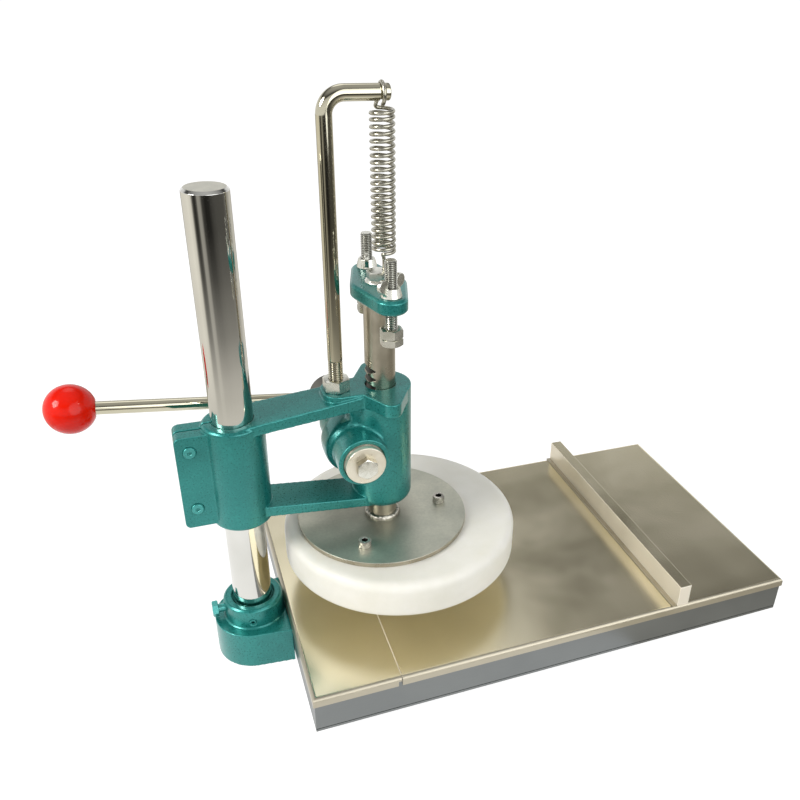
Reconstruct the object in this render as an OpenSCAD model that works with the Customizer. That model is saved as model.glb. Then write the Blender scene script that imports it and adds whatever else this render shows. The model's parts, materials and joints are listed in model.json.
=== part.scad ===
// Hand-lever bench press for pizza dough: a stainless table, a column in a cast foot, and a cast arm whose
// lever shaft drives a toothed ram with a round plastic disc. A tension spring lifts the ram again.
// Origin on the column axis at floor level, X along the table, Y to the rear, Z up. Millimetres.

/* [Table] */
// Length of the table
table_l = 480; // [430:5:560]
// Width of the table
table_w = 280; // [250:5:330]
// Height of the table box without its rubber feet
table_h = 39; // [36:0.5:46]
// Distance from the column axis to the left edge of the table
table_reach = 28; // [26:0.5:32]
// Thickness of the stainless sheet
sheet_t = 1.2; // [0.8:0.1:1.6]
// Height of the folded lip round the table top
lip_h = 9; // [7:0.5:12]
// Outside bend radius of the lip
lip_r = 4; // [3:0.5:6]
// Length of the left cover sheet, up to the seam
left_sheet_l = 77; // [60:1:110]
// Thickness of the wooden board under the cover
board_t = 18; // [15:0.5:20]
// Thickness of the bottom plate, whose edge shows below the skirt
bottom_t = 2.5; // [2:0.25:4]
// Height of the rubber feet
rubber_h = 12; // [9:0.5:14]
// Radius of a rubber foot
rubber_r = 14; // [11:0.5:18]
// Distance from the left edge of the table to the fence
fence_at = 353; // [320:1:380]
// Width of the fence
fence_w = 12.5; // [10:0.5:18]
// Height of the fence
fence_h = 23; // [16:0.5:28]

/* [Column and foot] */
// Radius of the column
column_r = 17.5; // [15:0.25:18.5]
// Height of the column top above the floor
column_top = 440; // [420:5:500]
// Radius of the round end of the foot
foot_r = 36.5; // [34:0.5:42]
// Height of the foot flange
foot_h = 38; // [36:0.5:40]
// Outside radius of the foot ring round the column
ring_r = 27; // [25:0.5:29]
// Height of the top of the ring
ring_top = 59; // [56:0.5:64]

/* [Arm] */
// Distance from the column axis to the ram axis
arm_reach = 128; // [126:0.5:140]
// Outside radius of the column clamp
clamp_r = 26; // [24:0.5:29]
// Lower edge of the column clamp
clamp_bottom = 149; // [140:1:156]
// Upper edge of the column clamp
clamp_top = 247; // [243:0.5:250]
// Distance from the column axis to the outer edge of the clamp ears
ear_reach = 49; // [46:0.5:56]
// Thickness of one clamp ear
ear_t = 12; // [10:0.5:15]
// Width of the clamping slit
slit_w = 2; // [1.5:0.25:3]
// Height of the head's upper face
head_top = 262; // [260:0.5:266]
// Height of the head's lower face
head_bottom = 145; // [142:0.5:150]
// Radius of the head round the ram
head_r = 27; // [25:0.5:29]
// Outside radius of the bosses round the lever shaft
boss_r = 22.5; // [22:0.25:24]
// Distance of each boss face from the ram axis, along the lever shaft
boss_half = 40; // [36:0.5:44]
// Radius of the rounded web round the lever shaft
web_r = 28; // [26:0.5:30]

/* [Ram and lever shaft] */
// Radius of the ram
ram_r = 13.3; // [13:0.1:14]
// Height of a rack tooth above its pitch line
tooth_h = 2.5; // [2.4:0.05:2.5]
// Teeth on the pinion
pinion_teeth = 12; // [12:1:12]
// Tooth gaps cut in the ram
rack_teeth = 14; // [13:1:15]
// Height of the lever shaft axis
shaft_z = 208; // [204:0.5:212]
// Radius of the lever shaft
shaft_r = 18.3; // [18.3:0.05:18.6]
// Radius of the shaft's rear head, which holds the lever
shaft_head_r = 20.5; // [20:0.25:24]
// Rear end of the shaft behind the ram axis
shaft_rear = 98; // [90:0.5:110]

/* [Press plate and disc] */
// Radius of the plastic disc
disc_r = 110; // [90:1:110]
// Thickness of the plastic disc
disc_h = 34.5; // [30:0.5:35]
// Radius of the steel press plate
plate_r = 79; // [70:0.5:85]
// Thickness of the steel press plate
plate_t = 4.5; // [3:0.25:6]
// Distance that the disc stands off the ram axis, away from the column
disc_offset = 17.5; // [16:0.5:22]
// Height of the disc's lower face at rest
disc_bottom = 86; // [85.5:0.5:88]

/* [Lever] */
// Distance from the shaft axis to the centre of the ball
lever_l = 233; // [180:1:280]
// Radius of the lever rod
lever_r = 5.5; // [4.5:0.25:7]
// Angle of the lever above the horizontal at rest
lever_angle = 6; // [2:1:12]
// Radius of the ball knob
ball_r = 22; // [18:0.5:26]

/* [Spring post and spring] */
// Distance from the spring post to the ram axis
post_back = 39; // [37:0.5:41]
// Radius of the spring post
post_r = 6.25; // [5:0.25:7]
// Height of the centre line of the post's horizontal end
post_top = 502; // [490:1:520]
// Length of the post's free end past the spring axis
post_over = 6; // [5:0.5:12]
// Inside radius of the bend
bend_in_r = 9; // [7:0.5:14]
// Distance that the spring axis stands past the ram axis
spring_off = 5; // [4:0.25:5.5]
// Outside radius of the spring
spring_r = 10; // [9:0.25:11]
// Radius of the spring wire
wire_r = 1.5; // [1.3:0.05:1.6]
// Full turns of the spring
spring_turns = 21; // [14:1:22]

/* [Cross plate and stops] */
// Upper face of the cross plate at rest
cross_top = 356; // [354:0.5:359]
// Thickness of the cross plate
cross_t = 12.5; // [10:0.5:14]
// Distance of each stop bolt from the ram axis
stop_y = 37; // [36:0.5:40]
// Radius of the stop bolts
stop_r = 5; // [4:0.25:5.5]
// Lower face of the stop bolt heads at rest
stop_bottom = 315; // [312:0.5:318]
// Upper end of the stop bolts at rest
stop_top = 386; // [382:0.5:392]

/* [Hidden] */
$fn = 64;

// Overrun of every cut past the face that it opens
cut = 1;
// Radial clearance of a running fit
fit = 0.05;
// Clearance between pieces that are fixed to each other
seat = 0.2;
// Clearance of a fixed screw in its hole
screw_gap = 0.15;

// Colours of the finishes
teal = "#1f8a83";
chrome = "#d5d6d8";
steel = "#9b9a96";
zinc = "#c9cacb";
stainless = "#b3ada2";

// Table
table_top = rubber_h + table_h;
table_mid = table_reach + table_l / 2;
skin = sheet_t + seat;
skirt_t = 1.5;
skirt_x = table_reach + skin;
skirt_l = table_l - 2 * skin;
skirt_w = table_w - 2 * skin;
board_top = table_top - sheet_t;
skirt_top = table_top - lip_r;
skirt_gap = 0.8;
skirt_bottom = rubber_h + bottom_t + skirt_gap;
board_in = lip_r + seat;
rail_h = board_top - board_t - rubber_h - bottom_t;
rail_w = 22;
rail_t = 1.5;
rail_shares = [0.09, 0.25, 0.6, 0.91];
seam_gap = 0.4;
seam_notch = 3;
rubber_inset = 40;
rubber_taper = 2;
foot_screw_r = 2.5;
foot_screw_head_r = 4.5;
foot_screw_head_h = 2.5;
foot_screw_l = 16;

// Foot
foot_flare = 5;
foot_floor = 5;
ring_chamfer = 2;
ring_fillet = 4;
ring_recess = 2.2;
ring_recess_h = 4;
foot_side = foot_r / cos(foot_flare) + skirt_x * tan(foot_flare);
foot_bolt_r = 4;
foot_bolt_af = 13;
foot_bolt_head_h = 5.5;
foot_bolt_l = 22;
foot_bolt_in = 9;
foot_bolt_y = foot_r - foot_bolt_in;
foot_bolt_z = rubber_h + (foot_h - rubber_h) / 2;
clamp_bolt_r = 4;
clamp_bolt_af = 13;
clamp_bolt_head_h = 5.5;
clamp_bolt_proud = 5.5;
clamp_bolt_z = foot_h + (ring_top - foot_h) / 2;
set_screw_r = 3;
set_screw_rise = 7.5;
set_screw_z = foot_h + set_screw_rise;
set_screw_turn = -100;
hex_key_share = 0.5;
tip_gap = 0.3;
set_screw_l = ring_r - column_r - tip_gap;

// Column
column_chamfer = 2.5;

// Arm
clamp_chamfer = 2;
ear_drop = 4.5;
ear_corner = 5;
upper_t_root = 9;
upper_t_tip = 12;
upper_half_root = 22.5;
upper_half_tip = 18;
lower_t_root = 10;
lower_t_tip = 9;
lower_rise = 12;
lower_half = 19;
slab_t = 12;
slab_end_r = 8.5;
slab_half = 36;
slab_neck_share = 0.97;
head_round = 9;
web_half = 15;
web_left = 6;
web_chamfer = 4.5;
gusset_l = 15;
post_boss_r = 11;
post_pad_t = 9;
post_pad_half = 17.5;
post_pad_corner = 13;
post_hole_depth = 20;
clamp_screw_r = 3;
clamp_screw_head_r = 5;
clamp_screw_head_h = 6;
clamp_screw_proud = 1.5;
clamp_screw_in = 11.5;
clamp_screw_end = 19;
clamp_screw_tip = 2;
ear_bottom = clamp_bottom + ear_drop;
ear_top = clamp_top - ear_drop;
ear_half = slit_w / 2 + ear_t;
clamp_screw_x = -ear_reach + clamp_screw_in;
clamp_screw_zs = [ear_bottom + clamp_screw_end, ear_top - clamp_screw_end + ear_corner];

// Rack and pinion: profile shift keeps the small pinion free of undercut
pressure = 20;
shift_share = 0.3;
root_share = 1.25;
flank_steps = 6;
backlash = 0.2;
rack_flat = 0.8;
rack_pitch = PI * tooth_h;
pitch_r = tooth_h * pinion_teeth / 2;
base_r = pitch_r * cos(pressure);
tip_r = pitch_r + tooth_h * (1 + shift_share);
root_r = pitch_r - tooth_h * (root_share - shift_share);
rack_tip = ram_r - rack_flat;
rack_line = rack_tip - tooth_h;
rack_root = rack_line - tooth_h * root_share;
shaft_x = arm_reach - rack_line - pitch_r - tooth_h * shift_share;
tooth_half = (rack_pitch / 2 + 2 * shift_share * tooth_h * tan(pressure) - backlash / 2) / 2;
tooth_angle = tooth_half / pitch_r * 180 / PI + involute(pressure);
tooth_side_gap = 0.7;
pinion_half = ram_r + tooth_side_gap;
rack_low_count = 4;

// Lever shaft and lever
shaft_proud = 0.5;
shaft_front = boss_half + shaft_proud;
shaft_chamfer = 1.5;
washer_r = 19.2;
washer_t = 5;
washer_chamfer = 0.8;
shaft_bolt_r = 5;
shaft_bolt_af = 17;
shaft_bolt_head_h = 6.4;
shaft_bolt_l = 24;
shaft_head_gap = 0.3;
lever_from_end = 12;
lever_y = shaft_rear - lever_from_end;
lever_root = 6;
lever_in_ball_share = 0.6;
ball_flat_share = 0.93;
lever_dir = 180 - lever_angle;

// Press plate and disc
disc_top = disc_bottom + disc_h;
plate_top = disc_top + plate_t;
disc_x = arm_reach + disc_offset;
disc_round = 4;
bead_r = 3.8;
bead_h = 4.5;
disc_screw_count = 3;
disc_screw_in = 23;
disc_screw_pcr = plate_r - disc_screw_in;
disc_screw_turn = -2;
disc_screw_r = 3;
disc_screw_head_r = 5;
disc_screw_head_h = 6;
disc_screw_l = 24;
key_share = 0.5;
key_depth_share = 0.55;

// Cross plate and stops
cross_bottom = cross_top - cross_t;
cross_mid_r = 23.5;
cross_end_r = 13.5;
cross_chamfer = 2;
cross_bolt_r = 6;
cross_bolt_af = 18;
cross_bolt_head_h = 9;
cross_flange_r = 11.5;
cross_flange_t = 2.5;
cross_bolt_l = 34;
stop_af = 17;
stop_head_h = 6.5;
stop_nut_h = 8;
wing_base_r = 9;
wing_neck_r = 7;
wing_base_h = 8;
wing_t = 3.2;
wing_in = 1;
wing_foot = 2;
wing_lobe_r = 5.5;
wing_lobe_out = 11;
wing_lobe_up = 11;
wing_turn_front = 38;
wing_turn_rear = 75;

// Spring post and nut
post_x = arm_reach - post_back;
spring_x = arm_reach + spring_off;
post_end = spring_x + post_over;
bend_r = bend_in_r + post_r;
post_nut_af = 21;
post_nut_h = 11;
post_chamfer = 1;
groove_depth = 1;
groove_play = 1;
groove_w = 2 * wire_r + groove_play;

// Spring path: a tail into the cross plate bolt, the coil, and a loop over the post
coil_r = spring_r - wire_r;
hook_in = 0.6;
hook_r = coil_r - hook_in;
hook_gap = 0.3;
hook_z = post_top + post_r - groove_depth + hook_gap + wire_r - hook_r;
cross_bolt_top = cross_top + cross_bolt_head_h;
tail_in = 4;
tail_hole_gap = 0.5;
tail_bottom = cross_bolt_top - tail_in;
tail_rise = 8;
coil_rise = 8;
coil_bottom = cross_bolt_top + tail_rise + coil_rise;
hook_rise = 3.5;
coil_top = hook_z - hook_r - hook_rise;
lead_in = 6;
end_turn_share = 0.5;
coil_turns = spring_turns + end_turn_share;
rings_per_turn = 8;
wire_sides = 6;
tail_rings = 3;
bend_rings = 6;
hook_rings = 18;
hook_sweep = 255;
skip_rings = 7;

// Height of the upper arm's top face at a distance x from the column
function upper_z(x) = clamp_top + (head_top - clamp_top) * x / arm_reach;

// Involute function in degrees
function involute(a) = tan(a) * 180 / PI - a;

// Half angle of a pinion tooth at radius r
function flank_half(r) = tooth_angle - involute(acos(min(1, base_r / r)));

// Radius of step i along a flank
function flank_r(i) = base_r + (tip_r - base_r) * i / flank_steps;

function polar(r, a) = [r * cos(a), r * sin(a)];

function unit(v) = v / norm(v);

// Point at t of a cubic bend from p to q, leaving along u and arriving along v
function bend(p, u, q, v, t) =
    p * pow(1 - t, 3) + 3 * (p + u) * t * pow(1 - t, 2) + 3 * (q - v) * pow(t, 2) * (1 - t) + q * pow(t, 3);

// Bar of radius r and length l along X, Y or Z
module bar_x(r, l) rotate([0, 90, 0]) cylinder(r = r, h = l);
module bar_y(r, l) rotate([-90, 0, 0]) cylinder(r = r, h = l);

// Hexagon prism measured across its flats
module hex(af, h) rotate(30) cylinder(r = af / 2 / cos(30), h = h, $fn = 6);

// Upright rectangle with round corners, in the XZ plane, spread along Y
module plate_xz(x0, x1, z0, z1, r, y0, y1)
    translate([0, y1, 0])
        rotate([90, 0, 0])
            linear_extrude(y1 - y0) {
                translate([x0 + r, z0]) square([x1 - x0 - r, z1 - z0]);
                translate([x0, z0 + r]) square([r, z1 - z0 - 2 * r]);
                for (z = [z0 + r, z1 - r])
                    translate([x0 + r, z]) circle(r);
            }

// Four-sided side profile in the XZ plane, spread over both sides of Y
module side_plate(points, half)
    rotate([90, 0, 0]) linear_extrude(2 * half, center = true) polygon(points);

// Plate with a round middle that narrows to a round end on both sides of Y, its edges chamfered by c
module lozenge(mid_r, end_r, half, h, c) {
    lean = asin((mid_r - end_r) / half);
    chamfered_bar(mid_r, 0, h, c);
    for (s = [-1, 1])
        translate([0, s * half, 0]) chamfered_bar(end_r, 0, h, c);
    for (s = [0, 1])
        mirror([0, s, 0])
            for (t = [0, 1])
                mirror([t, 0, 0])
                    rotate(lean)
                        translate([0, half * cos(lean), 0])
                            rotate([90, 0, 0])
                                linear_extrude(half * cos(lean))
                                    polygon([
                                        [0, 0],
                                        [mid_r - c, 0],
                                        [mid_r, c],
                                        [mid_r, h - c],
                                        [mid_r - c, h],
                                        [0, h]]);
}

// Round bar with both ends chamfered, from height z0 to z1
module chamfered_bar(r, z0, z1, c)
    rotate_extrude()
        polygon([[0, z0], [r - c, z0], [r, z0 + c], [r, z1 - c], [r - c, z1], [0, z1]]);

// Section of the folded cover, with its upper corners bent
module cover_section(l, h, r) {
    translate([-l / 2, -h]) square([l, h - r]);
    translate([r - l / 2, -r]) square([l - 2 * r, r]);
    for (s = [-1, 1])
        translate([s * (l / 2 - r), -r]) circle(r);
}

module cover_block(l, w, h, r)
    intersection() {
        rotate([90, 0, 0]) linear_extrude(w, center = true) cover_section(l, h, r);
        rotate([90, 0, 90]) linear_extrude(l, center = true) cover_section(w, h, r);
    }

module cover_shell()
    translate([table_mid, 0, table_top])
        difference() {
            cover_block(table_l, table_w, lip_h, lip_r);
            translate([0, 0, -sheet_t])
                cover_block(table_l - 2 * sheet_t, table_w - 2 * sheet_t, lip_h + cut, lip_r - sheet_t);
        }

// Block over the table between two distances from its left edge
module table_slice(x0, x1)
    translate([table_reach + x0, -table_w / 2 - cut, rubber_h])
        cube([x1 - x0, table_w + 2 * cut, table_h + cut]);

module top_sheet_left()
    color(stainless)
        difference() {
            intersection() {
                cover_shell();
                table_slice(-cut, left_sheet_l);
            }
            translate([table_reach + left_sheet_l - seam_notch, -table_w / 2 - cut, table_top - lip_h - cut])
                cube([seam_notch + cut, table_w + 2 * cut, lip_h - lip_r + cut]);
        }

module top_sheet_right()
    color(stainless)
        intersection() {
            cover_shell();
            table_slice(left_sheet_l + seam_gap, table_l + cut);
        }

module base_frame()
    color("#8d8f91")
        difference() {
            translate([skirt_x, -skirt_w / 2, skirt_bottom])
                cube([skirt_l, skirt_w, skirt_top - skirt_bottom]);
            translate([skirt_x + skirt_t, skirt_t - skirt_w / 2, skirt_bottom - cut])
                cube([skirt_l - 2 * skirt_t, skirt_w - 2 * skirt_t, skirt_top - skirt_bottom + 2 * cut]);
            for (s = [-1, 1])
                translate([skirt_x - cut, s * foot_bolt_y, foot_bolt_z])
                    bar_x(foot_bolt_r + screw_gap, skirt_t + 2 * cut);
        }

// Places of the four rubber feet
module at_feet()
    for (x = [table_reach + rubber_inset, table_reach + table_l - rubber_inset])
        for (s = [-1, 1])
            translate([x, s * (table_w / 2 - rubber_inset), 0])
                children();

module core_board()
    color("#b08d5e")
        translate([table_reach + board_in, board_in - table_w / 2, board_top - board_t])
            cube([table_l - 2 * board_in, table_w - 2 * board_in, board_t]);

module cross_rails()
    color(steel)
        difference() {
            for (share = rail_shares)
                translate([skirt_x + share * skirt_l - rail_w / 2, 0, rubber_h + bottom_t])
                    difference() {
                        translate([0, skirt_t + seat - skirt_w / 2, 0])
                            cube([rail_w, skirt_w - 2 * (skirt_t + seat), rail_h]);
                        translate([rail_t, -skirt_w / 2, rail_t])
                            cube([rail_w - 2 * rail_t, skirt_w, rail_h - 2 * rail_t]);
                    }
            at_feet() cylinder(r = foot_screw_r + screw_gap, h = rubber_h + bottom_t + rail_h / 2);
        }

module bottom_plate()
    color("#4a4b4d")
        difference() {
            translate([skirt_x, -skirt_w / 2, rubber_h]) cube([skirt_l, skirt_w, bottom_t]);
            at_feet() cylinder(r = foot_screw_r + screw_gap, h = rubber_h + bottom_t + cut);
        }

module rubber_feet()
    color("#1c1c1d")
        at_feet()
            difference() {
                cylinder(r1 = rubber_r - rubber_taper, r2 = rubber_r, h = rubber_h);
                translate([0, 0, -cut])
                    cylinder(r = foot_screw_r + screw_gap, h = rubber_h + 2 * cut);
                translate([0, 0, -cut])
                    cylinder(r = foot_screw_head_r + screw_gap, h = cut + 2 * foot_screw_head_h);
            }

module feet_screws()
    color(zinc)
        at_feet()
            translate([0, 0, foot_screw_head_h]) {
                cylinder(r = foot_screw_head_r, h = foot_screw_head_h);
                cylinder(r = foot_screw_r, h = foot_screw_l);
            }

module fence_bar()
    color(stainless)
        translate([table_reach + fence_at, -table_w / 2, table_top])
            difference() {
                cube([fence_w, table_w, fence_h]);
                translate([sheet_t, sheet_t, -cut])
                    cube([fence_w - 2 * sheet_t, table_w - 2 * sheet_t, fence_h - sheet_t + cut]);
            }

module foot_plan() {
    circle(foot_r);
    polygon([
        [-foot_r * sin(foot_flare), -foot_r * cos(foot_flare)],
        [skirt_x, -foot_side],
        [skirt_x, foot_side],
        [-foot_r * sin(foot_flare), foot_r * cos(foot_flare)]]);
}

module column_foot()
    color(teal)
        difference() {
            union() {
                linear_extrude(foot_h) foot_plan();
                rotate_extrude()
                    polygon([
                        [0, 0],
                        [ring_r + ring_fillet, 0],
                        [ring_r + ring_fillet, foot_h],
                        [ring_r, foot_h + ring_fillet],
                        [ring_r, ring_top - ring_chamfer],
                        [ring_r - ring_chamfer, ring_top],
                        [0, ring_top]]);
            }
            translate([skirt_x, -foot_side - cut, -cut])
                cube([foot_r, 2 * (foot_side + cut), ring_top + 2 * cut]);
            translate([0, 0, foot_floor]) cylinder(r = column_r + fit, h = ring_top);
            translate([0, 0, ring_top - ring_recess_h])
                cylinder(r = column_r + ring_recess, h = ring_recess_h + cut);
            translate([-ring_r - cut, 0, clamp_bolt_z])
                bar_x(clamp_bolt_r + screw_gap, ring_r - column_r + 2 * cut);
            rotate(set_screw_turn)
                translate([column_r, 0, set_screw_z])
                    bar_x(set_screw_r + screw_gap, ring_r - column_r + cut);
            for (s = [-1, 1])
                translate([skirt_x - foot_bolt_l, s * foot_bolt_y, foot_bolt_z])
                    bar_x(foot_bolt_r + screw_gap, foot_bolt_l + cut);
        }

module foot_bolts()
    color(zinc)
        for (s = [-1, 1])
            translate([skirt_x + skirt_t, s * foot_bolt_y, foot_bolt_z]) {
                translate([-foot_bolt_l, 0, 0]) bar_x(foot_bolt_r, foot_bolt_l);
                rotate([0, 90, 0]) hex(foot_bolt_af, foot_bolt_head_h);
            }

module foot_clamp_bolt()
    color(teal)
        translate([-ring_r - clamp_bolt_proud - clamp_bolt_head_h, 0, clamp_bolt_z]) {
            bar_x(clamp_bolt_r, ring_r + clamp_bolt_proud + clamp_bolt_head_h - column_r - tip_gap);
            rotate([0, 90, 0]) hex(clamp_bolt_af, clamp_bolt_head_h);
        }

module foot_set_screw()
    color(teal)
        rotate(set_screw_turn)
            translate([column_r + tip_gap, 0, set_screw_z])
                difference() {
                    bar_x(set_screw_r, set_screw_l);
                    translate([set_screw_l * (1 - hex_key_share), 0, 0])
                        rotate([0, 90, 0]) hex(set_screw_r, set_screw_l);
                }

module column()
    color(chrome) chamfered_bar(column_r, foot_floor, column_top, column_chamfer);

// Head round the ram, with its lower edge rounded
module head_body()
    rotate_extrude() {
        translate([0, head_bottom]) square([head_r - head_round, head_top - head_bottom]);
        translate([0, head_bottom + head_round]) square([head_r, head_top - head_bottom - head_round]);
        translate([head_r - head_round, head_bottom + head_round]) circle(head_round);
    }

module upper_arm()
    intersection() {
        side_plate([
            [0, clamp_top - upper_t_root],
            [arm_reach, head_top - upper_t_tip],
            [arm_reach, head_top],
            [0, clamp_top]], upper_half_root);
        translate([0, 0, clamp_bottom])
            linear_extrude(head_top - clamp_bottom + cut)
                polygon([
                    [0, -upper_half_root],
                    [arm_reach, -upper_half_tip],
                    [arm_reach, upper_half_tip],
                    [0, upper_half_root]]);
    }

module lower_arm()
    side_plate([
        [0, head_bottom + lower_rise + lower_t_root],
        [0, head_bottom + lower_rise],
        [arm_reach, head_bottom],
        [arm_reach, head_bottom + lower_t_tip]], lower_half);

// Web that ties the shaft bosses and the head to both arms
module head_web()
    side_plate([
        [shaft_x - web_left, shaft_z],
        [shaft_x - web_left, shaft_z - boss_r],
        [shaft_x + gusset_l, head_bottom + lower_t_tip],
        [arm_reach, head_bottom + head_round],
        [arm_reach, head_top - slab_t],
        [shaft_x - web_left, upper_z(shaft_x) - upper_t_tip]], web_half);

// Outline of the head's upper slab, which the stop bolts meet
module slab_plan() {
    neck = head_r * slab_neck_share;
    lean = asin((neck - slab_end_r) / slab_half);
    circle(head_r);
    for (s = [-1, 1]) {
        translate([0, s * slab_half]) circle(slab_end_r);
        polygon([
            [-neck * cos(lean), s * neck * sin(lean)],
            [neck * cos(lean), s * neck * sin(lean)],
            [slab_end_r * cos(lean), s * (slab_half + slab_end_r * sin(lean))],
            [-slab_end_r * cos(lean), s * (slab_half + slab_end_r * sin(lean))]]);
    }
}

// Outline of the level pad under the post nut, from the post to the head
module post_pad_plan() {
    side = post_pad_half - post_pad_corner;
    translate([0, -post_pad_half]) square([post_back, 2 * post_pad_half]);
    translate([-post_pad_corner, -side]) square([post_pad_corner, 2 * side]);
    for (s = [-1, 1])
        translate([0, s * side]) circle(post_pad_corner);
}

module arm_casting()
    color(teal)
        difference() {
            union() {
                chamfered_bar(clamp_r, clamp_bottom, clamp_top, clamp_chamfer);
                plate_xz(-ear_reach, 0, ear_bottom, ear_top, ear_corner, -ear_half, ear_half);
                upper_arm();
                lower_arm();
                head_web();
                translate([arm_reach, 0, 0]) head_body();
                translate([arm_reach, 0, head_top - slab_t])
                    linear_extrude(slab_t) slab_plan();
                translate([shaft_x, -boss_half, shaft_z]) bar_y(boss_r, 2 * boss_half);
                translate([shaft_x, 0, shaft_z])
                    rotate([90, 0, 0]) chamfered_bar(web_r, -web_half, web_half, web_chamfer);
                translate([post_x, 0, head_top - post_hole_depth])
                    cylinder(r = post_boss_r, h = post_hole_depth);
                translate([post_x, 0, head_top - post_pad_t])
                    linear_extrude(post_pad_t) post_pad_plan();
            }
            translate([0, 0, clamp_bottom - cut])
                cylinder(r = column_r + fit, h = head_top - clamp_bottom + 2 * cut);
            translate([arm_reach, 0, head_bottom - cut])
                cylinder(r = ram_r + fit, h = head_top - head_bottom + 2 * cut);
            translate([shaft_x, -boss_half - cut, shaft_z])
                bar_y(shaft_r + fit, 2 * (boss_half + cut));
            translate([-ear_reach - cut, -slit_w / 2, clamp_bottom - cut])
                cube([ear_reach, slit_w, clamp_top - clamp_bottom + 2 * cut]);
            translate([post_x, 0, head_top - post_hole_depth])
                cylinder(r = post_r + screw_gap, h = post_hole_depth + cut);
            for (z = clamp_screw_zs) {
                translate([clamp_screw_x, -ear_half - cut, z])
                    bar_y(clamp_screw_r + screw_gap, 2 * ear_half - clamp_screw_tip + cut);
                translate([clamp_screw_x, -ear_half - cut, z])
                    bar_y(clamp_screw_head_r + screw_gap, clamp_screw_head_h - clamp_screw_proud + cut);
            }
        }

// Socket head cap screw that points along -Z from the underside of its head
module cap_screw(r, l, head_r, head_h) {
    translate([0, 0, -l]) cylinder(r = r, h = l);
    difference() {
        cylinder(r = head_r, h = head_h);
        translate([0, 0, head_h * (1 - key_depth_share)])
            hex(2 * head_r * key_share, head_h);
    }
}

module clamp_screws()
    color(teal)
        for (z = clamp_screw_zs)
            translate([clamp_screw_x, clamp_screw_head_h - clamp_screw_proud - ear_half, z])
                rotate([90, 0, 0])
                    cap_screw(clamp_screw_r, 2 * ear_half - clamp_screw_head_h - clamp_screw_tip,
                        clamp_screw_head_r, clamp_screw_head_h);

module spring_post()
    color(chrome) {
        translate([post_x, 0, head_top - post_hole_depth])
            cylinder(r = post_r, h = post_top - bend_r - head_top + post_hole_depth);
        translate([post_x + bend_r, 0, post_top - bend_r])
            rotate([90, 0, 0])
                rotate([0, 0, 90])
                    rotate_extrude(angle = 90) translate([bend_r, 0]) circle(post_r);
        translate([post_x + bend_r, 0, post_top])
            rotate([0, 90, 0])
                rotate_extrude()
                    polygon([
                        [0, 0],
                        [post_r, 0],
                        [post_r, spring_x - groove_w / 2 - post_x - bend_r],
                        [post_r - groove_depth, spring_x - groove_w / 2 - post_x - bend_r],
                        [post_r - groove_depth, spring_x + groove_w / 2 - post_x - bend_r],
                        [post_r, spring_x + groove_w / 2 - post_x - bend_r],
                        [post_r, post_end - post_chamfer - post_x - bend_r],
                        [post_r - post_chamfer, post_end - post_x - bend_r],
                        [0, post_end - post_x - bend_r]]);
    }

module post_nut()
    color(zinc)
        translate([post_x, 0, head_top])
            difference() {
                hex(post_nut_af, post_nut_h);
                translate([0, 0, -cut]) cylinder(r = post_r + screw_gap, h = post_nut_h + 2 * cut);
            }

// Centre line of the spring wire, from the tail up to the loop over the post
function coil_point(i, n) =
    let (a = -90 + coil_turns * 360 * i / n)
    [spring_x + coil_r * cos(a), coil_r * sin(a), coil_bottom + (coil_top - coil_bottom) * i / n];

coil_rings = floor(coil_turns * rings_per_turn);
coil_climb = (coil_top - coil_bottom) / coil_rings;
tail_end = [spring_x, 0, cross_bolt_top + tail_rise];
hook_start = [spring_x, hook_r, hook_z];
up = [0, 0, lead_in];
wire_path = concat(
    [for (i = [0:tail_rings - 1])
        [spring_x, 0, tail_bottom + (cross_bolt_top + tail_rise - tail_bottom) * i / tail_rings]],
    [for (i = [0:bend_rings - 1])
        bend(tail_end, up, coil_point(0, coil_rings), [lead_in, 0, coil_climb], i / bend_rings)],
    [for (i = [0:coil_rings]) coil_point(i, coil_rings)],
    [for (i = [1:bend_rings - 1])
        bend(coil_point(coil_rings, coil_rings), [-lead_in, 0, coil_climb], hook_start, up, i / bend_rings)],
    [for (i = [0:hook_rings])
        [spring_x, hook_r * cos(hook_sweep * i / hook_rings),
            hook_z + hook_r * sin(hook_sweep * i / hook_rings)]]);
wire_rings = len(wire_path);
wire_dirs = [for (i = [0:wire_rings - 1])
    unit(wire_path[min(i + 1, wire_rings - 1)] - wire_path[max(i - 1, 0)])];

// Side direction of ring after ring, turned no more than the wire itself turns
wire_sides_dirs = [for (i = 0, n = [1, 0, 0]; i < wire_rings;
    i = i + 1,
    n = i < wire_rings ? unit(n - wire_dirs[i] * (n * wire_dirs[i])) : n) n];

wire_points = [for (i = [0:wire_rings - 1])
    for (k = [0:wire_sides - 1])
        let (a = 360 * k / wire_sides, across = cross(wire_dirs[i], wire_sides_dirs[i]))
        wire_path[i] + wire_r * (cos(a) * wire_sides_dirs[i] + sin(a) * across)];

function ring_at(i, k) = i * wire_sides + k % wire_sides;

wire_faces = concat(
    [for (i = [0:wire_rings - 2])
        for (k = [0:wire_sides - 1])
            [ring_at(i, k), ring_at(i + 1, k), ring_at(i + 1, k + 1)]],
    [for (i = [0:wire_rings - 2])
        for (k = [0:wire_sides - 1])
            [ring_at(i, k), ring_at(i + 1, k + 1), ring_at(i, k + 1)]],
    [for (k = [1:wire_sides - 2]) [ring_at(0, 0), ring_at(0, k), ring_at(0, k + 1)]],
    [for (k = [1:wire_sides - 2])
        [ring_at(wire_rings - 1, 0), ring_at(wire_rings - 1, k + 1), ring_at(wire_rings - 1, k)]]);

wire_gap = min([for (i = [0:wire_rings - 1])
    for (j = [i + skip_rings:1:wire_rings - 1])
        norm(wire_path[i] - wire_path[j])]) - 2 * wire_r;
echo(least_gap_of_spring_to_itself = wire_gap);  // return_spring

module return_spring()
    color(zinc) polyhedron(wire_points, wire_faces);

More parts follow.
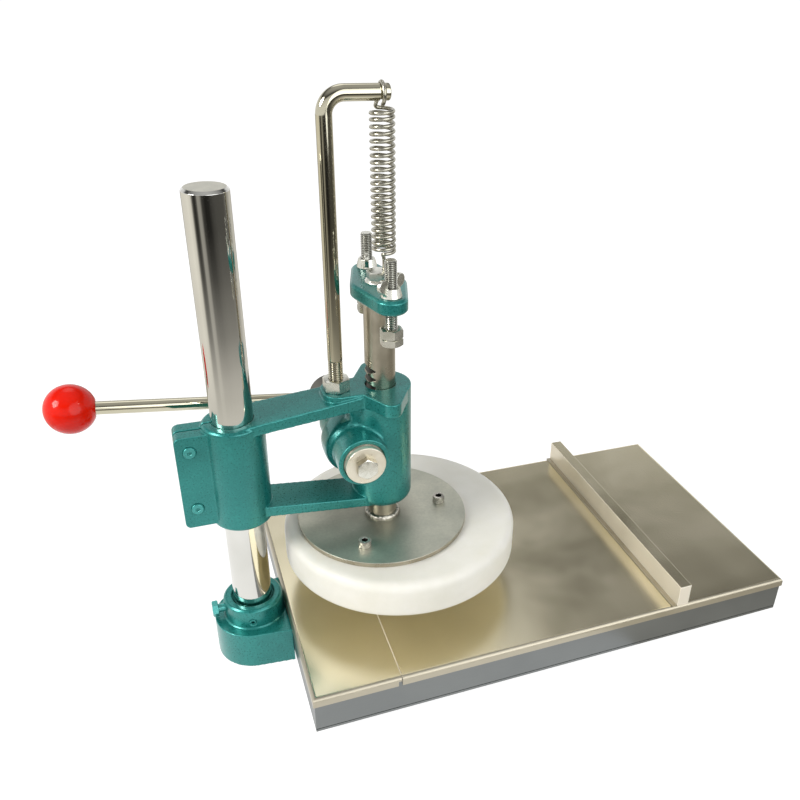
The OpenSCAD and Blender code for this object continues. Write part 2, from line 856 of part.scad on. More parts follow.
// One gap of the rack in the XZ plane, opening towards -X
module rack_gap() {
    half = rack_pitch / 4 + backlash / 4;
    polygon([
        [-rack_root, tooth_h * root_share * tan(pressure) - half],
        [-rack_root, half - tooth_h * root_share * tan(pressure)],
        [-rack_line, half],
        [-ram_r - cut, half + (ram_r + cut - rack_line) * tan(pressure)],
        [-ram_r - cut, -half - (ram_r + cut - rack_line) * tan(pressure)],
        [-rack_line, -half]]);
}

module ram()
    color(steel)
        translate([arm_reach, 0, 0])
            difference() {
                translate([0, 0, plate_top]) cylinder(r = ram_r, h = cross_bottom - plate_top);
                translate([0, 0, shaft_z])
                    rotate([90, 0, 0])
                        linear_extrude(2 * (ram_r + cut), center = true)
                            for (i = [0:rack_teeth - 1])
                                translate([0, (i - rack_low_count) * rack_pitch]) rack_gap();
                translate([-ram_r - cut, -ram_r - cut, shaft_z - (rack_low_count + 0.5) * rack_pitch])
                    cube([ram_r + cut - rack_tip, 2 * (ram_r + cut), rack_teeth * rack_pitch]);
                translate([0, 0, cross_top - cross_bolt_l])
                    cylinder(r = cross_bolt_r + screw_gap, h = cross_bolt_l);
            }

// Places of the screws that hold the disc
module at_disc_screws()
    for (i = [0:disc_screw_count - 1])
        translate([arm_reach, 0, plate_top])
            rotate(disc_screw_turn + 360 * i / disc_screw_count)
                translate([disc_screw_pcr, 0, 0])
                    children();

module press_plate()
    color("#8f8f8c")
        difference() {
            translate([arm_reach, 0, disc_top]) cylinder(r = plate_r, h = plate_t);
            at_disc_screws()
                translate([0, 0, -plate_t - cut])
                    cylinder(r = disc_screw_r + screw_gap, h = plate_t + 2 * cut);
        }

module weld_bead()
    color(zinc)
        translate([arm_reach, 0, plate_top])
            rotate_extrude()
                polygon([
                    [ram_r, 0],
                    [ram_r + bead_r, 0],
                    [ram_r + bead_r / 2, bead_h / 2],
                    [ram_r, bead_h]]);

module dough_disc()
    color("#f2f1ec")
        difference() {
            translate([disc_x, 0, 0])
                rotate_extrude() {
                    translate([0, disc_bottom]) square([disc_r - disc_round, disc_h]);
                    translate([0, disc_bottom + disc_round]) square([disc_r, disc_h - 2 * disc_round]);
                    for (z = [disc_bottom + disc_round, disc_top - disc_round])
                        translate([disc_r - disc_round, z]) circle(disc_round);
                }
            at_disc_screws()
                translate([0, 0, -disc_screw_l - cut])
                    cylinder(r = disc_screw_r + screw_gap, h = disc_screw_l + 2 * cut);
        }

module disc_screws()
    color("#7c7d7e")
        at_disc_screws()
            cap_screw(disc_screw_r, disc_screw_l, disc_screw_head_r, disc_screw_head_h);

module cross_plate()
    color(teal)
        translate([arm_reach, 0, cross_bottom])
            difference() {
                lozenge(cross_mid_r, cross_end_r, stop_y, cross_t, cross_chamfer);
                translate([0, 0, -cut]) cylinder(r = cross_bolt_r + screw_gap, h = cross_t + 2 * cut);
                for (s = [-1, 1])
                    translate([0, s * stop_y, -cut]) cylinder(r = stop_r + fit, h = cross_t + 2 * cut);
            }

module cross_plate_bolt()
    color(zinc)
        translate([arm_reach, 0, cross_top])
            difference() {
                union() {
                    translate([0, 0, -cross_bolt_l + screw_gap])
                        cylinder(r = cross_bolt_r, h = cross_bolt_l);
                    cylinder(r1 = cross_flange_r, r2 = cross_bolt_af / 2, h = cross_flange_t);
                    hex(cross_bolt_af, cross_bolt_head_h);
                }
                translate([spring_x - arm_reach, 0, cross_bolt_head_h - tail_in - tail_hole_gap])
                    cylinder(r = wire_r + tail_hole_gap, h = tail_in + tail_hole_gap + cut);
            }

module stop_bolt(side)
    color(zinc)
        translate([arm_reach, side * stop_y, stop_bottom]) {
            hex(stop_af, stop_head_h);
            cylinder(r = stop_r, h = stop_top - stop_bottom);
        }

module stop_nut(side)
    color(zinc)
        translate([arm_reach, side * stop_y, stop_bottom + stop_head_h])
            difference() {
                hex(stop_af, stop_nut_h);
                translate([0, 0, -cut]) cylinder(r = stop_r + screw_gap, h = stop_nut_h + 2 * cut);
            }

module wing_nut(side, turn)
    color(zinc)
        translate([arm_reach, side * stop_y, cross_top])
            difference() {
                union() {
                    cylinder(r1 = wing_base_r, r2 = wing_neck_r, h = wing_base_h);
                    rotate([90, 0, turn])
                        linear_extrude(wing_t, center = true)
                            for (s = [-1, 1]) {
                                translate([s * wing_lobe_out, wing_lobe_up]) circle(wing_lobe_r);
                                polygon([
                                    [s * (stop_r + wing_in), wing_foot],
                                    [s * (wing_base_r - wing_in), wing_foot],
                                    [s * (wing_lobe_out + wing_lobe_r), wing_lobe_up],
                                    [s * (wing_lobe_out - wing_lobe_r), wing_lobe_up],
                                    [s * (stop_r + wing_in), wing_base_h - wing_in]]);
                            }
                }
                translate([0, 0, -cut])
                    cylinder(r = stop_r + fit, h = wing_lobe_up + wing_lobe_r + 2 * cut);
            }

module stop_bolt_front() stop_bolt(-1);
module stop_bolt_rear() stop_bolt(1);
module stop_nut_front() stop_nut(-1);
module stop_nut_rear() stop_nut(1);
module wing_nut_front() wing_nut(-1, wing_turn_front);
module wing_nut_rear() wing_nut(1, wing_turn_rear);

// Involute pinion with one tooth pointing along +X
module pinion_outline()
    polygon([for (t = [0:pinion_teeth - 1])
        let (mid = 360 * t / pinion_teeth)
        each concat(
            [polar(root_r, mid - flank_half(base_r))],
            [for (i = [0:flank_steps]) polar(flank_r(i), mid - flank_half(flank_r(i)))],
            [for (i = [flank_steps:-1:0]) polar(flank_r(i), mid + flank_half(flank_r(i)))],
            [polar(root_r, mid + flank_half(base_r))])]);

module pinion_shaft()
    color(steel)
        difference() {
            translate([shaft_x, 0, shaft_z]) {
                rotate([90, 0, 0]) linear_extrude(2 * pinion_half, center = true) pinion_outline();
                rotate([-90, 0, 0]) {
                    chamfered_bar(shaft_r, -shaft_front, -pinion_half, shaft_chamfer);
                    translate([0, 0, pinion_half]) cylinder(r = shaft_r, h = boss_half + cut - pinion_half);
                    chamfered_bar(shaft_head_r, boss_half + shaft_head_gap, shaft_rear, shaft_chamfer);
                }
            }
            translate([shaft_x, -shaft_front - cut, shaft_z])
                bar_y(shaft_bolt_r + screw_gap, shaft_bolt_l + cut);
            on_lever()
                translate([-lever_root - screw_gap, 0, 0])
                    bar_x(lever_r + screw_gap, shaft_head_r + lever_root + screw_gap + cut);
        }

module pinion_washer()
    color(zinc)
        translate([shaft_x, -shaft_front, shaft_z])
            rotate([90, 0, 0])
                difference() {
                    chamfered_bar(washer_r, 0, washer_t, washer_chamfer);
                    translate([0, 0, -cut]) cylinder(r = shaft_bolt_r + screw_gap, h = washer_t + 2 * cut);
                }

module pinion_bolt()
    color(zinc)
        translate([shaft_x, -shaft_front - washer_t, shaft_z]) {
            translate([0, -shaft_bolt_head_h, 0]) bar_y(shaft_bolt_r, shaft_bolt_l + shaft_bolt_head_h);
            rotate([90, 0, 0]) hex(shaft_bolt_af, shaft_bolt_head_h);
        }

// Lever frame: X along the rod, from the shaft axis to the ball
module on_lever()
    translate([shaft_x, lever_y, shaft_z]) rotate([0, -lever_dir, 0]) children();

module lever_rod()
    color(chrome)
        on_lever()
            translate([-lever_root, 0, 0])
                bar_x(lever_r, lever_l + lever_root - ball_r * (1 - lever_in_ball_share));

module ball_knob()
    color("#c61f1f")
        on_lever()
            translate([lever_l, 0, 0])
                rotate([0, 90, 0])
                    difference() {
                        intersection() {
                            sphere(ball_r);
                            translate([0, 0, -ball_r * ball_flat_share]) cylinder(r = ball_r, h = 2 * ball_r);
                        }
                        translate([0, 0, -ball_r - cut])
                            cylinder(r = lever_r + screw_gap,
                                h = ball_r * lever_in_ball_share + screw_gap + cut);
                    }

base_frame();
cross_rails();
core_board();
bottom_plate();
rubber_feet();
feet_screws();
top_sheet_left();
top_sheet_right();
fence_bar();
column_foot();
foot_bolts();
foot_clamp_bolt();
foot_set_screw();
column();
arm_casting();
clamp_screws();
spring_post();
post_nut();
return_spring();
ram();
press_plate();
weld_bead();
dough_disc();
disc_screws();
cross_plate();
cross_plate_bolt();
stop_bolt_front();
stop_bolt_rear();
stop_nut_front();
stop_nut_rear();
wing_nut_front();
wing_nut_rear();
pinion_shaft();
pinion_washer();
pinion_bolt();
lever_rod();
ball_knob();
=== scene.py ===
import json
import math

import bmesh
import bpy
import numpy as np
from mathutils import Matrix, Vector, noise


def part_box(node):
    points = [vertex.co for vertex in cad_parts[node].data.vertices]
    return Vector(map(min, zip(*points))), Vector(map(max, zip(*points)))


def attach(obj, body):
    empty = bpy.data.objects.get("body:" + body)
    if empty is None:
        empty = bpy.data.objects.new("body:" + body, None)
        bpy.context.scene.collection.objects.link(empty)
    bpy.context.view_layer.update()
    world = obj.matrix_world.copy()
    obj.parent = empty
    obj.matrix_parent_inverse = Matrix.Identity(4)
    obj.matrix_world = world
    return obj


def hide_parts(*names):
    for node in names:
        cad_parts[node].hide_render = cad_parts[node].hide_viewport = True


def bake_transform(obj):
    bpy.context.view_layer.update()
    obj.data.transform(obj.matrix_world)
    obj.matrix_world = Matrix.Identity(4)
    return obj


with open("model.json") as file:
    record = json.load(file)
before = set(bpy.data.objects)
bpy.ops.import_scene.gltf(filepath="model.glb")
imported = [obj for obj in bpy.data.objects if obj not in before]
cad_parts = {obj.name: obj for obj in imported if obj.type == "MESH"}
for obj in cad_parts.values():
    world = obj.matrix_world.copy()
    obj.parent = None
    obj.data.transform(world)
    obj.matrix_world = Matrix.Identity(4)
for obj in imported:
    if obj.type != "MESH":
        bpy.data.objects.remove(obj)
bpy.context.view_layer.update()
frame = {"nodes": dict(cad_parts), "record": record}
nodes = frame["nodes"]
body_of = {n: b for b, ns in frame["record"]["behaviour"]["bodies"].items() for n in ns}
scene = bpy.context.scene
scene.view_settings.view_transform = "Standard"

MM = 0.001
TAU = 2 * math.pi
UP, BACK = (0, 0, 1), (0, 1, 0)
FRONT = Matrix.Rotation(math.radians(90), 4, "X")    # +Z becomes -Y
LEFT = Matrix.Rotation(math.radians(-90), 4, "Y")    # +Z becomes -X
RIGHT = Matrix.Rotation(math.radians(90), 4, "Y")    # +Z becomes +X

# Sizes in millimetres: most are the part's own, and some are nearer to the photo or belong to detail

# Table
SEAM_X, TABLE_TOP = 105.2, 51
FOLD_Y, FOLD_R, FOLD_SUNK = 136, 0.4, 0.08
FLANGE_W, FLANGE_H, FLANGE_LAP, FLANGE_EDGE = 5, 1, 0.2, 0.3

# Column and foot
COLUMN_R, COLUMN_LOW, COLUMN_TOP = 17.5, 5, 440
COLUMN_CHAMFER, COLUMN_TOP_CHAMFER = 2, 2.2
RING_R, RING_FILLET, FOOT_TOP, RING_TUCK = 27, 4, 38, 0.33
FOOT_BOLT_X, FOOT_BOLT_Z, FOOT_BOLT_AF, FOOT_BOLT_H = -32.5, 48.5, 13, 5.5
FOOT_BOLT_R, FOOT_BOLT_L = 4, 14.5

# Arm
BOSS_NEAR, BOSS_FAR, BOSS_LOWS, BOSS_LONG, BOSS_PASSES = 20, 36, (-29, 3), 26, 90
CLAMP_X, CLAMP_Y, CLAMP_ZS = -37.5, -8.5, (172.5, 228.5)
POST_X, POST_R, POST_Z, POST_BEND, POST_END, POST_FOOT = 89, 6.25, 502, 15.25, 139, 242
POST_THREAD, POST_PITCH, POST_THREAD_DEPTH = 17.5, 1.75, 0.9
GROOVE_OUT, GROOVE_IN, GROOVE_R = 2.2, 1.9, 5.3
NUT_LOW, NUT_HIGH, NUT_AF = 262, 273, 21

# Return spring
SPRING_X, COIL_R, WIRE_R = 133, 8.5, 1.5
COIL_LOW, COIL_HIGH, COIL_TURNS = 381, 489.75, 21.5
COIL_STEPS, EASE_STEPS, BEND_LEAD = 28, 42, 6
HOOK_Z, HOOK_R, HOOK_SWEEP, TAIL_LOW, TAIL_HIGH = 501.13, 7.9, 255, 361, 373

# Lever shaft, lever and ball
SHAFT_X, SHAFT_Z, SHAFT_R, SHAFT_FRONT = 102.25, 208, 18.3, 40.5
WASHER_BORE, WASHER_R, WASHER_H = 5.2, 17.6, 5
END_BOLT_AF, END_BOLT_H, END_BOLT_R, END_BOLT_L = 17, 6.4, 5, 18
LEVER_Y, LEVER_TURN, LEVER_R, LEVER_L, LEVER_ROOT, LEVER_SHORT = 86, 174, 6, 233, 6, 8.8
BALL_R, BALL_FLAT, BALL_HOLE = 22, 0.93, 8.5

# Ram, plate and disc
RAM_X, RAM_R = 128, 13.3
DISC_X, DISC_R, DISC_LOW, DISC_TOP, PLATE_R, PLATE_TOP = 145.5, 110, 86, 120.5, 79, 125
SCREW_CIRCLE, SCREW_ANGLES, SCREW_HEAD = 56, (-2, 118, 238), 7
SCREW_HOLE, SCREW_HOLE_LOW, DRILL_LOW, DRILL_TOP = 3.15, 100.5, 110, 130
WELD_W, WELD_H, WELD_GAP, WELD_SEGS, WELD_ROWS = 3.7, 4.4, 0.03, 240, 14

# Cross plate and stops
CROSS_TOP, CROSS_BORE, TAIL_HOLE = 356, 6.05, 2
STOP_Y, STOP_R, STOP_AF, STOP_PITCH, STOP_THREAD_DEPTH = 37, 5, 17, 1.5, 0.7
STOP_LOW, STOP_HEAD, STOP_NUT, STOP_TOP = 315, 321.5, 329.5, 386

# Room round a bar in a smoothed casting, and the overlap of shapes that make up one piece
BORE_GAP, STOP_GAP, LAP = 0.06, 0.04, 0.1


# Mesh parts in millimetres: (points, faces)

def skin(rows, loop=False):
    """Surface over rows of points, each a ring of one count or a single pole.

    A loop joins the last row to the first."""
    points, index, faces = [], [], []
    for row in rows:
        index.append(range(len(points), len(points) + len(row)))
        points += [tuple(p) for p in row]
    pairs = list(zip(index, index[1:])) + ([(index[-1], index[0])] if loop else [])
    for low, high in pairs:
        count = max(len(low), len(high))
        for k in range(count):
            n = (k + 1) % count
            quad = (low[k % len(low)], low[n % len(low)], high[n % len(high)], high[k % len(high)])
            faces.append(tuple(dict.fromkeys(quad)))
    if not loop:
        faces += [tuple(r) for r in (index[0], index[-1]) if len(r) > 1]
    return points, faces


def ring(radii, heights, segs):
    """Ring of points; radius and height are numbers or lists of segs values."""
    rs = radii if isinstance(radii, list) else [radii] * segs
    hs = heights if isinstance(heights, list) else [heights] * segs
    turns = [TAU * k / segs for k in range(segs)]
    return [(r * math.cos(a), r * math.sin(a), h) for a, r, h in zip(turns, rs, hs)]


def lathe(profile, segs=96, loop=False):
    """Turned form from (radius, height) points."""
    return skin([[(0, 0, h)] if r < 1e-6 else ring(r, h, segs) for r, h in profile], loop)


def rod(r, low, high, segs):
    """Plain round bar."""
    return lathe([(0, low), (r, low), (r, high), (0, high)], segs)


def soft(points, steps=5):
    """Profile with rounded corners: each point is (r, h) or (r, h, corner radius)."""
    out = []
    for i, p in enumerate(points):
        b = Vector(p[:2])
        if len(p) < 3 or i in (0, len(points) - 1):
            out.append(tuple(b))
            continue
        u, v = Vector(points[i - 1][:2]) - b, Vector(points[i + 1][:2]) - b
        back = min(p[2] / math.tan(u.angle(v) / 2), 0.49 * u.length, 0.49 * v.length)
        u, v = b + u.normalized() * back, b + v.normalized() * back
        for s in range(steps + 1):
            t = s / steps
            out.append(tuple(u * (1 - t) ** 2 + b * 2 * t * (1 - t) + v * t ** 2))
    return out


def moved(part, *matrices):
    """Mesh part after the matrices, the last one first."""
    m = Matrix.Identity(4)
    for x in matrices:
        m = m @ x
    return [tuple(m @ Vector(p)) for p in part[0]], part[1]


def to(x, y, z):
    """Matrix that moves by a distance."""
    return Matrix.Translation((x, y, z))


def joined(parts):
    """Several mesh parts as one."""
    points, faces = [], []
    for p, f in parts:
        faces += [tuple(i + len(points) for i in g) for g in f]
        points += p
    return points, faces


def hex_reach(af, segs):
    """Distance from the middle to the side of a hexagon, all round."""
    return [af / 2 / math.cos((TAU * k / segs + TAU / 12) % (TAU / 6) - TAU / 12) for k in range(segs)]


def hexagon(af, low, high, hole=0, segs=72):
    """Hexagon with its corners turned off at both ends, and a hole right through it."""
    rim, slope, lead = af * 0.478, 0.5, 0.7
    reach = hex_reach(af, segs)
    drop = [max(0, r - rim) * slope for r in reach]
    inner = [min(r, rim) for r in reach]
    rows = [
        ring(inner, low, segs),
        ring(reach, [low + d for d in drop], segs),
        ring(reach, [high - d for d in drop], segs),
        ring(inner, high, segs)]
    if not hole:
        return skin([[(0, 0, low)]] + rows + [[(0, 0, high)]])
    bore = (hole + lead, high), (hole, high - lead), (hole, low + lead), (hole + lead, low)
    return skin(rows + [ring(r, h, segs) for r, h in bore], True)


def thread(r, low, high, pitch, depth, segs=48):
    """Threaded bar with its upper end chamfered and its crests and roots flattened."""
    rows_a_turn, chamfer, slant, crest = 6, 1.3 * depth, 1.3, 0.15
    steps = math.ceil((high - low) / pitch * rows_a_turn)
    rows = []
    for i in range(steps + 1):
        h = low + (high - low) * i / steps
        end = max(0, chamfer - (high - h))
        waves = [abs(2 * ((h / pitch - k / segs) % 1) - 1) for k in range(segs)]
        cuts = [depth * min(1, max(0, slant * w - crest)) for w in waves]
        rows.append(ring([r - max(end, c) for c in cuts], h, segs))
    return skin(rows)


def sweep(path, radii, segs=24):
    """Round bar along a path, one radius for each of its points."""
    path = [Vector(p) for p in path]
    turns = [TAU * k / segs for k in range(segs)]
    side, rows = Vector((1, 0, 0)), []
    for i, p in enumerate(path):
        ahead = (path[min(i + 1, len(path) - 1)] - path[max(i - 1, 0)]).normalized()
        side = (side - ahead * side.dot(ahead)).normalized()
        across = ahead.cross(side)
        rows.append([p + (side * math.cos(a) + across * math.sin(a)) * radii[i] for a in turns])
    return skin(rows)


def cap_screw(r, length, head_r, head_h, key, depth, segs=72, knurl=0.22):
    """Socket head screw whose head stands on height 0, with its edges broken."""
    rough = [head_r - knurl * (k % 2) for k in range(segs)]
    reach = hex_reach(key, segs)
    shank = [[(0, 0, -length)], ring(r - 0.6, -length, segs), ring(r, 0.6 - length, segs), ring(r, 0, segs)]
    head = [
        ring(head_r - 0.5, 0, segs),
        ring(rough, 0.4, segs),
        ring(rough, head_h - 0.9, segs),
        ring(head_r - 0.25, head_h - 0.4, segs),
        ring(head_r - 0.8, head_h, segs)]
    socket = [
        ring([x + 0.25 for x in reach], head_h, segs),
        ring(reach, head_h - 0.3, segs),
        ring(reach, head_h - depth, segs),
        [(0, 0, head_h - depth - 0.6)]]
    return skin(shank + head + socket)


def flange_bolt(r, length, flange_r, af, head_h, segs=72):
    """Hexagon bolt whose flange stands on height 0, with its edges broken."""
    reach = hex_reach(af, segs)
    rim = af / 2 - 0.4
    shank = [[(0, 0, -length)], ring(r - 0.6, -length, segs), ring(r, 0.6 - length, segs), ring(r, 0, segs)]
    flange = [
        ring(flange_r - 0.2, 0, segs),
        ring(flange_r, 0.4, segs),
        ring(flange_r - 0.3, 1.2, segs),
        ring([max(x, af / 2 + 0.1) for x in reach], 2.6, segs)]
    head = [
        ring(reach, [head_h - max(0, x - rim) * 0.55 for x in reach], segs),
        ring([min(x, rim) for x in reach], head_h, segs),
        [(0, 0, head_h)]]
    return skin(shank + flange + head)


# Meshes

def mesh_of(name, part, scale=MM):
    """Mesh from a mesh part."""
    mesh = bpy.data.meshes.new(name)
    mesh.from_pydata([tuple(c * scale for c in p) for p in part[0]], [], part[1])
    return mesh


def box_part(low, high):
    """Plain block between two corners."""
    points = [(x, y, z) for x in (low[0], high[0]) for y in (low[1], high[1]) for z in (low[2], high[2])]
    return points, [(0, 1, 3, 2), (4, 6, 7, 5), (0, 4, 5, 1), (2, 3, 7, 6), (0, 2, 6, 4), (1, 5, 7, 3)]


def points_of(mesh):
    """Points of a mesh as rows, in metres."""
    co = np.zeros(len(mesh.vertices) * 3)
    mesh.vertices.foreach_get("co", co)
    return co.reshape(-1, 3)


def evaluated(mesh, name, *modifiers):
    """Mesh after modifiers, each (kind, settings)."""
    piece = bpy.data.objects.new(name, mesh)
    scene.collection.objects.link(piece)
    for kind, settings in modifiers:
        m = piece.modifiers.new(kind.lower(), kind)
        for key, value in settings.items():
            setattr(m, key, value)
    made = bpy.data.meshes.new_from_object(piece.evaluated_get(bpy.context.evaluated_depsgraph_get()))
    bpy.data.objects.remove(piece)
    return made


def welded(node):
    """Copy of a CAD node's mesh with its points joined and its flat faces whole."""
    mesh = nodes[node].data.copy()
    mesh.materials.clear()
    bm = bmesh.new()
    bm.from_mesh(mesh)
    bmesh.ops.remove_doubles(bm, verts=bm.verts, dist=1e-6)
    bmesh.ops.dissolve_limit(bm, angle_limit=math.radians(0.4), verts=bm.verts, edges=bm.edges)
    bm.to_mesh(mesh)
    bm.free()
    return mesh


def clear(mesh, middle, along, r):
    """Keeps a bore at least r wide round its axis."""
    co = points_of(mesh)
    away = co / MM - np.array(middle, float)
    away -= np.outer(away @ along, along)
    far = np.linalg.norm(away, axis=1)
    near = (far < r) & (far > r * 0.7)
    co[near] += away[near] * ((r / far[near]) - 1)[:, None] * MM
    mesh.vertices.foreach_set("co", co.ravel())


def melt(mesh, middle, along, near, far, low, high, passes):
    """Smooths a band round an axis, between two radii and two places along it."""
    co = points_of(mesh)
    ends = np.zeros(len(mesh.edges) * 2, int)
    mesh.edges.foreach_get("vertices", ends)
    a, b = ends.reshape(-1, 2).T
    away = co / MM - np.array(middle, float)
    place = away @ along
    reach = np.linalg.norm(away - np.outer(place, along), axis=1)
    inside = np.minimum.reduce([reach - near, far - reach, place - low, high - place])
    pull = np.clip(inside / 3, 0, 1)[:, None] * 0.5
    near_by = (pull[a, 0] > 0) | (pull[b, 0] > 0)
    a, b = np.concatenate([a[near_by], b[near_by]]), np.concatenate([b[near_by], a[near_by]])
    count = np.maximum(np.bincount(a, minlength=len(co)), 1)
    for _ in range(passes):
        mean = np.stack([np.bincount(a, co[b, k], len(co)) / count for k in range(3)], axis=1)
        co += (mean - co) * pull
    mesh.vertices.foreach_set("co", co.ravel())
    mesh.update()


def tuck(mesh, r, h, size, share):
    """Draws the cone between a ring of radius r and the level h towards their corner, by a share of its size."""
    co = points_of(mesh)
    reach = np.maximum(np.hypot(co[:, 0], co[:, 1]), 1e-6)
    out, up = (reach / MM - r) / size, (co[:, 2] / MM - h) / size
    cone = (out > 0) & (up > 0) & (np.abs(out + up - 1) < 0.2)
    new = (r + size * np.maximum(0, out - share)) * MM / reach
    co[cone, :2] *= new[cone, None]
    co[cone, 2] = (h + size * np.maximum(0, up[cone] - share)) * MM
    mesh.vertices.foreach_set("co", co.ravel())


# Pieces

def settle(node, mesh, material, angle=35, weighted=True):
    """Shades a mesh, gives it its finish and body, and lets it stand for a CAD node."""
    piece = bpy.data.objects.new(node + "_shown", mesh)
    scene.collection.objects.link(piece)
    bm = bmesh.new()
    bm.from_mesh(piece.data)
    bmesh.ops.recalc_face_normals(bm, faces=bm.faces)
    for f in bm.faces:
        f.smooth = True
    for e in bm.edges:
        e.smooth = e.is_manifold and e.calc_face_angle(0) < math.radians(angle)
    bm.to_mesh(piece.data)
    bm.free()
    if not piece.data.materials:
        piece.data.materials.append(material)
    if weighted:
        facing = piece.modifiers.new("facing", "WEIGHTED_NORMAL")
        facing.keep_sharp = True
    if node != "return_spring":
        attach(piece, body_of[node])
    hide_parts(node)
    return piece


def build(node, parts, material, angle=35):
    """Piece from mesh parts."""
    return settle(node, mesh_of(node + "_shown", joined(parts)), material, angle)


def dress(node, material, edge=0.3):
    """CAD node with its edges broken."""
    bevel = {"width": edge * MM, "segments": 3, "limit_method": "ANGLE", "angle_limit": math.radians(32)}
    return settle(node, evaluated(welded(node), node + "_edges", ("BEVEL", bevel)), material, 60)


def cast(node, material, bores, voxel, passes, share, bands=(), cone=None):
    """CAD node as it leaves the mould: edges and inner corners melt into fillets, and bores stay open."""
    mesh = evaluated(welded(node), node + "_rough", ("REMESH", {"mode": "VOXEL", "voxel_size": voxel * MM}))
    if cone:
        tuck(mesh, *cone)
    mesh = evaluated(mesh, node + "_form", ("SMOOTH", {"factor": 0.5, "iterations": passes}))
    for middle, along, *band in bands:
        melt(mesh, middle, np.array(along, float), *band)
    mesh = evaluated(mesh, node + "_thin", ("DECIMATE", {"ratio": share}))
    for middle, along, r in bores:
        clear(mesh, middle, np.array(along, float), r)
    return settle(node, mesh, material, 75, False)


def drill(piece, holes):
    """Bores holes, each (x, y, low, high, radius), into a piece."""
    cuts = [moved(rod(r, low, high, 40), to(x, y, 0)) for x, y, low, high, r in holes]
    mesh = mesh_of("drill", joined(cuts))
    bm = bmesh.new()
    bm.from_mesh(mesh)
    bmesh.ops.recalc_face_normals(bm, faces=bm.faces)
    bm.to_mesh(mesh)
    bm.free()
    tool = bpy.data.objects.new("drill", mesh)
    scene.collection.objects.link(tool)
    cut = {"object": tool, "operation": "DIFFERENCE", "solver": "EXACT"}
    piece.data = evaluated(piece.data.copy(), "drilled", ("BOOLEAN", cut))
    bpy.data.objects.remove(tool)


def sink(piece, axes, crest, root, low, high):
    """Marks how deep a piece's points lie in its thread or socket, for the painted shade that its finish puts
    there. Axes are (x, y) places.
    """
    co = points_of(piece.data) / MM
    reach = np.min([np.hypot(co[:, 0] - x, co[:, 1] - y) for x, y in axes], axis=0)
    deep = np.clip((crest - reach) / (crest - root), 0, 1) * ((co[:, 2] > low) & (co[:, 2] < high))
    piece.data.attributes.new("recess_shade", "FLOAT", "POINT").data.foreach_set("value", deep)


def refinish(piece, material, chosen):
    """Gives the faces that a test chooses a second finish."""
    piece.data.materials.append(material)
    for f in piece.data.polygons:
        f.material_index = int(chosen(f))


def add_trim(name, mesh, material, beside):
    """Thin trim that only the scene shows, on the body of the node beside it."""
    mesh.materials.append(material)
    mesh.shade_smooth()
    trim = bpy.data.objects.new(name, mesh)
    scene.collection.objects.link(trim)
    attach(trim, body_of[beside])


def keep(node, material):
    """CAD node that shows as it is, with its finish."""
    for s in nodes[node].material_slots:
        s.material = material


# Finishes


def srgb(*rgb):
    """Linear colour from 0 to 255 levels."""
    shares = [c / 255 for c in rgb]
    return tuple(c / 12.92 if c <= 0.04045 else ((c + 0.055) / 1.055) ** 2.4 for c in shares) + (1,)


def feed(tree, socket, value):
    """Sets an input to a value or links it to another node's output."""
    if isinstance(value, bpy.types.NodeSocket):
        tree.links.new(value, socket)
    else:
        socket.default_value = value


def put(tree, kind, inputs=None, **settings):
    """New shader node; an input is a value or another node's output."""
    n = tree.nodes.new("ShaderNode" + kind)
    for key, value in settings.items():
        setattr(n, key, value)
    for key, value in (inputs or {}).items():
        feed(tree, n.inputs[key], value)
    return n


def grain(tree, co, scale, detail=2, rough=0.5, stretch=None, warp=0):
    """Noise from 0 to 1, stretched along an axis where its scale is small."""
    if stretch:
        co = put(tree, "Mapping", {"Vector": co, "Scale": stretch}).outputs[0]
    look = {"Vector": co, "Scale": scale, "Detail": detail, "Roughness": rough, "Distortion": warp}
    return put(tree, "TexNoise", look).outputs["Fac"]


def ramp(tree, value, *stops):
    """Colour by value; a stop is (place, colour or grey level)."""
    n = put(tree, "ValToRGB", {"Fac": value})
    while len(n.color_ramp.elements) < len(stops):
        n.color_ramp.elements.new(0.5)
    for e, (place, colour) in zip(n.color_ramp.elements, stops):
        e.position = place
        e.color = colour if isinstance(colour, tuple) else (colour, colour, colour, 1)
    return n.outputs["Color"]


def mixed(tree, share, a, b, way="MIX"):
    """Colour a with a share of colour b."""
    n = put(tree, "Mix", data_type="RGBA", blend_type=way)
    for socket, value in ((n.inputs[0], share), (n.inputs[6], a), (n.inputs[7], b)):
        feed(tree, socket, value)
    return n.outputs[2]


def spread(tree, value, low, high, a, b):
    """Value from low to high as a value from a to b."""
    span = {"Value": value, "From Min": low, "From Max": high, "To Min": a, "To Max": b}
    return put(tree, "MapRange", span).outputs[0]


def maths(tree, how, a, b):
    """Sum, product or the like of two values."""
    n = put(tree, "Math", operation=how)
    for socket, value in zip(n.inputs, (a, b)):
        feed(tree, socket, value)
    return n.outputs[0]


def finish(name):
    """New material for a slot: (material, tree, place on the piece)."""
    material = bpy.data.materials.new(name)
    material.use_nodes = True
    tree = material.node_tree
    return material, tree, put(tree, "TexCoord").outputs["Object"]


def shade(tree, colour, rough, height, depth, strength, **values):
    """Fills the shader: colour and roughness from nodes, a height of some millimetres, and plain values."""
    shader = tree.nodes["Principled BSDF"]
    tree.links.new(colour, shader.inputs["Base Color"])
    tree.links.new(rough, shader.inputs["Roughness"])
    bump = put(tree, "Bump", {"Height": height, "Distance": depth * MM, "Strength": strength})
    tree.links.new(bump.outputs[0], shader.inputs["Normal"])
    for key, value in values.items():
        shader.inputs[key.replace("_", " ")].default_value = value


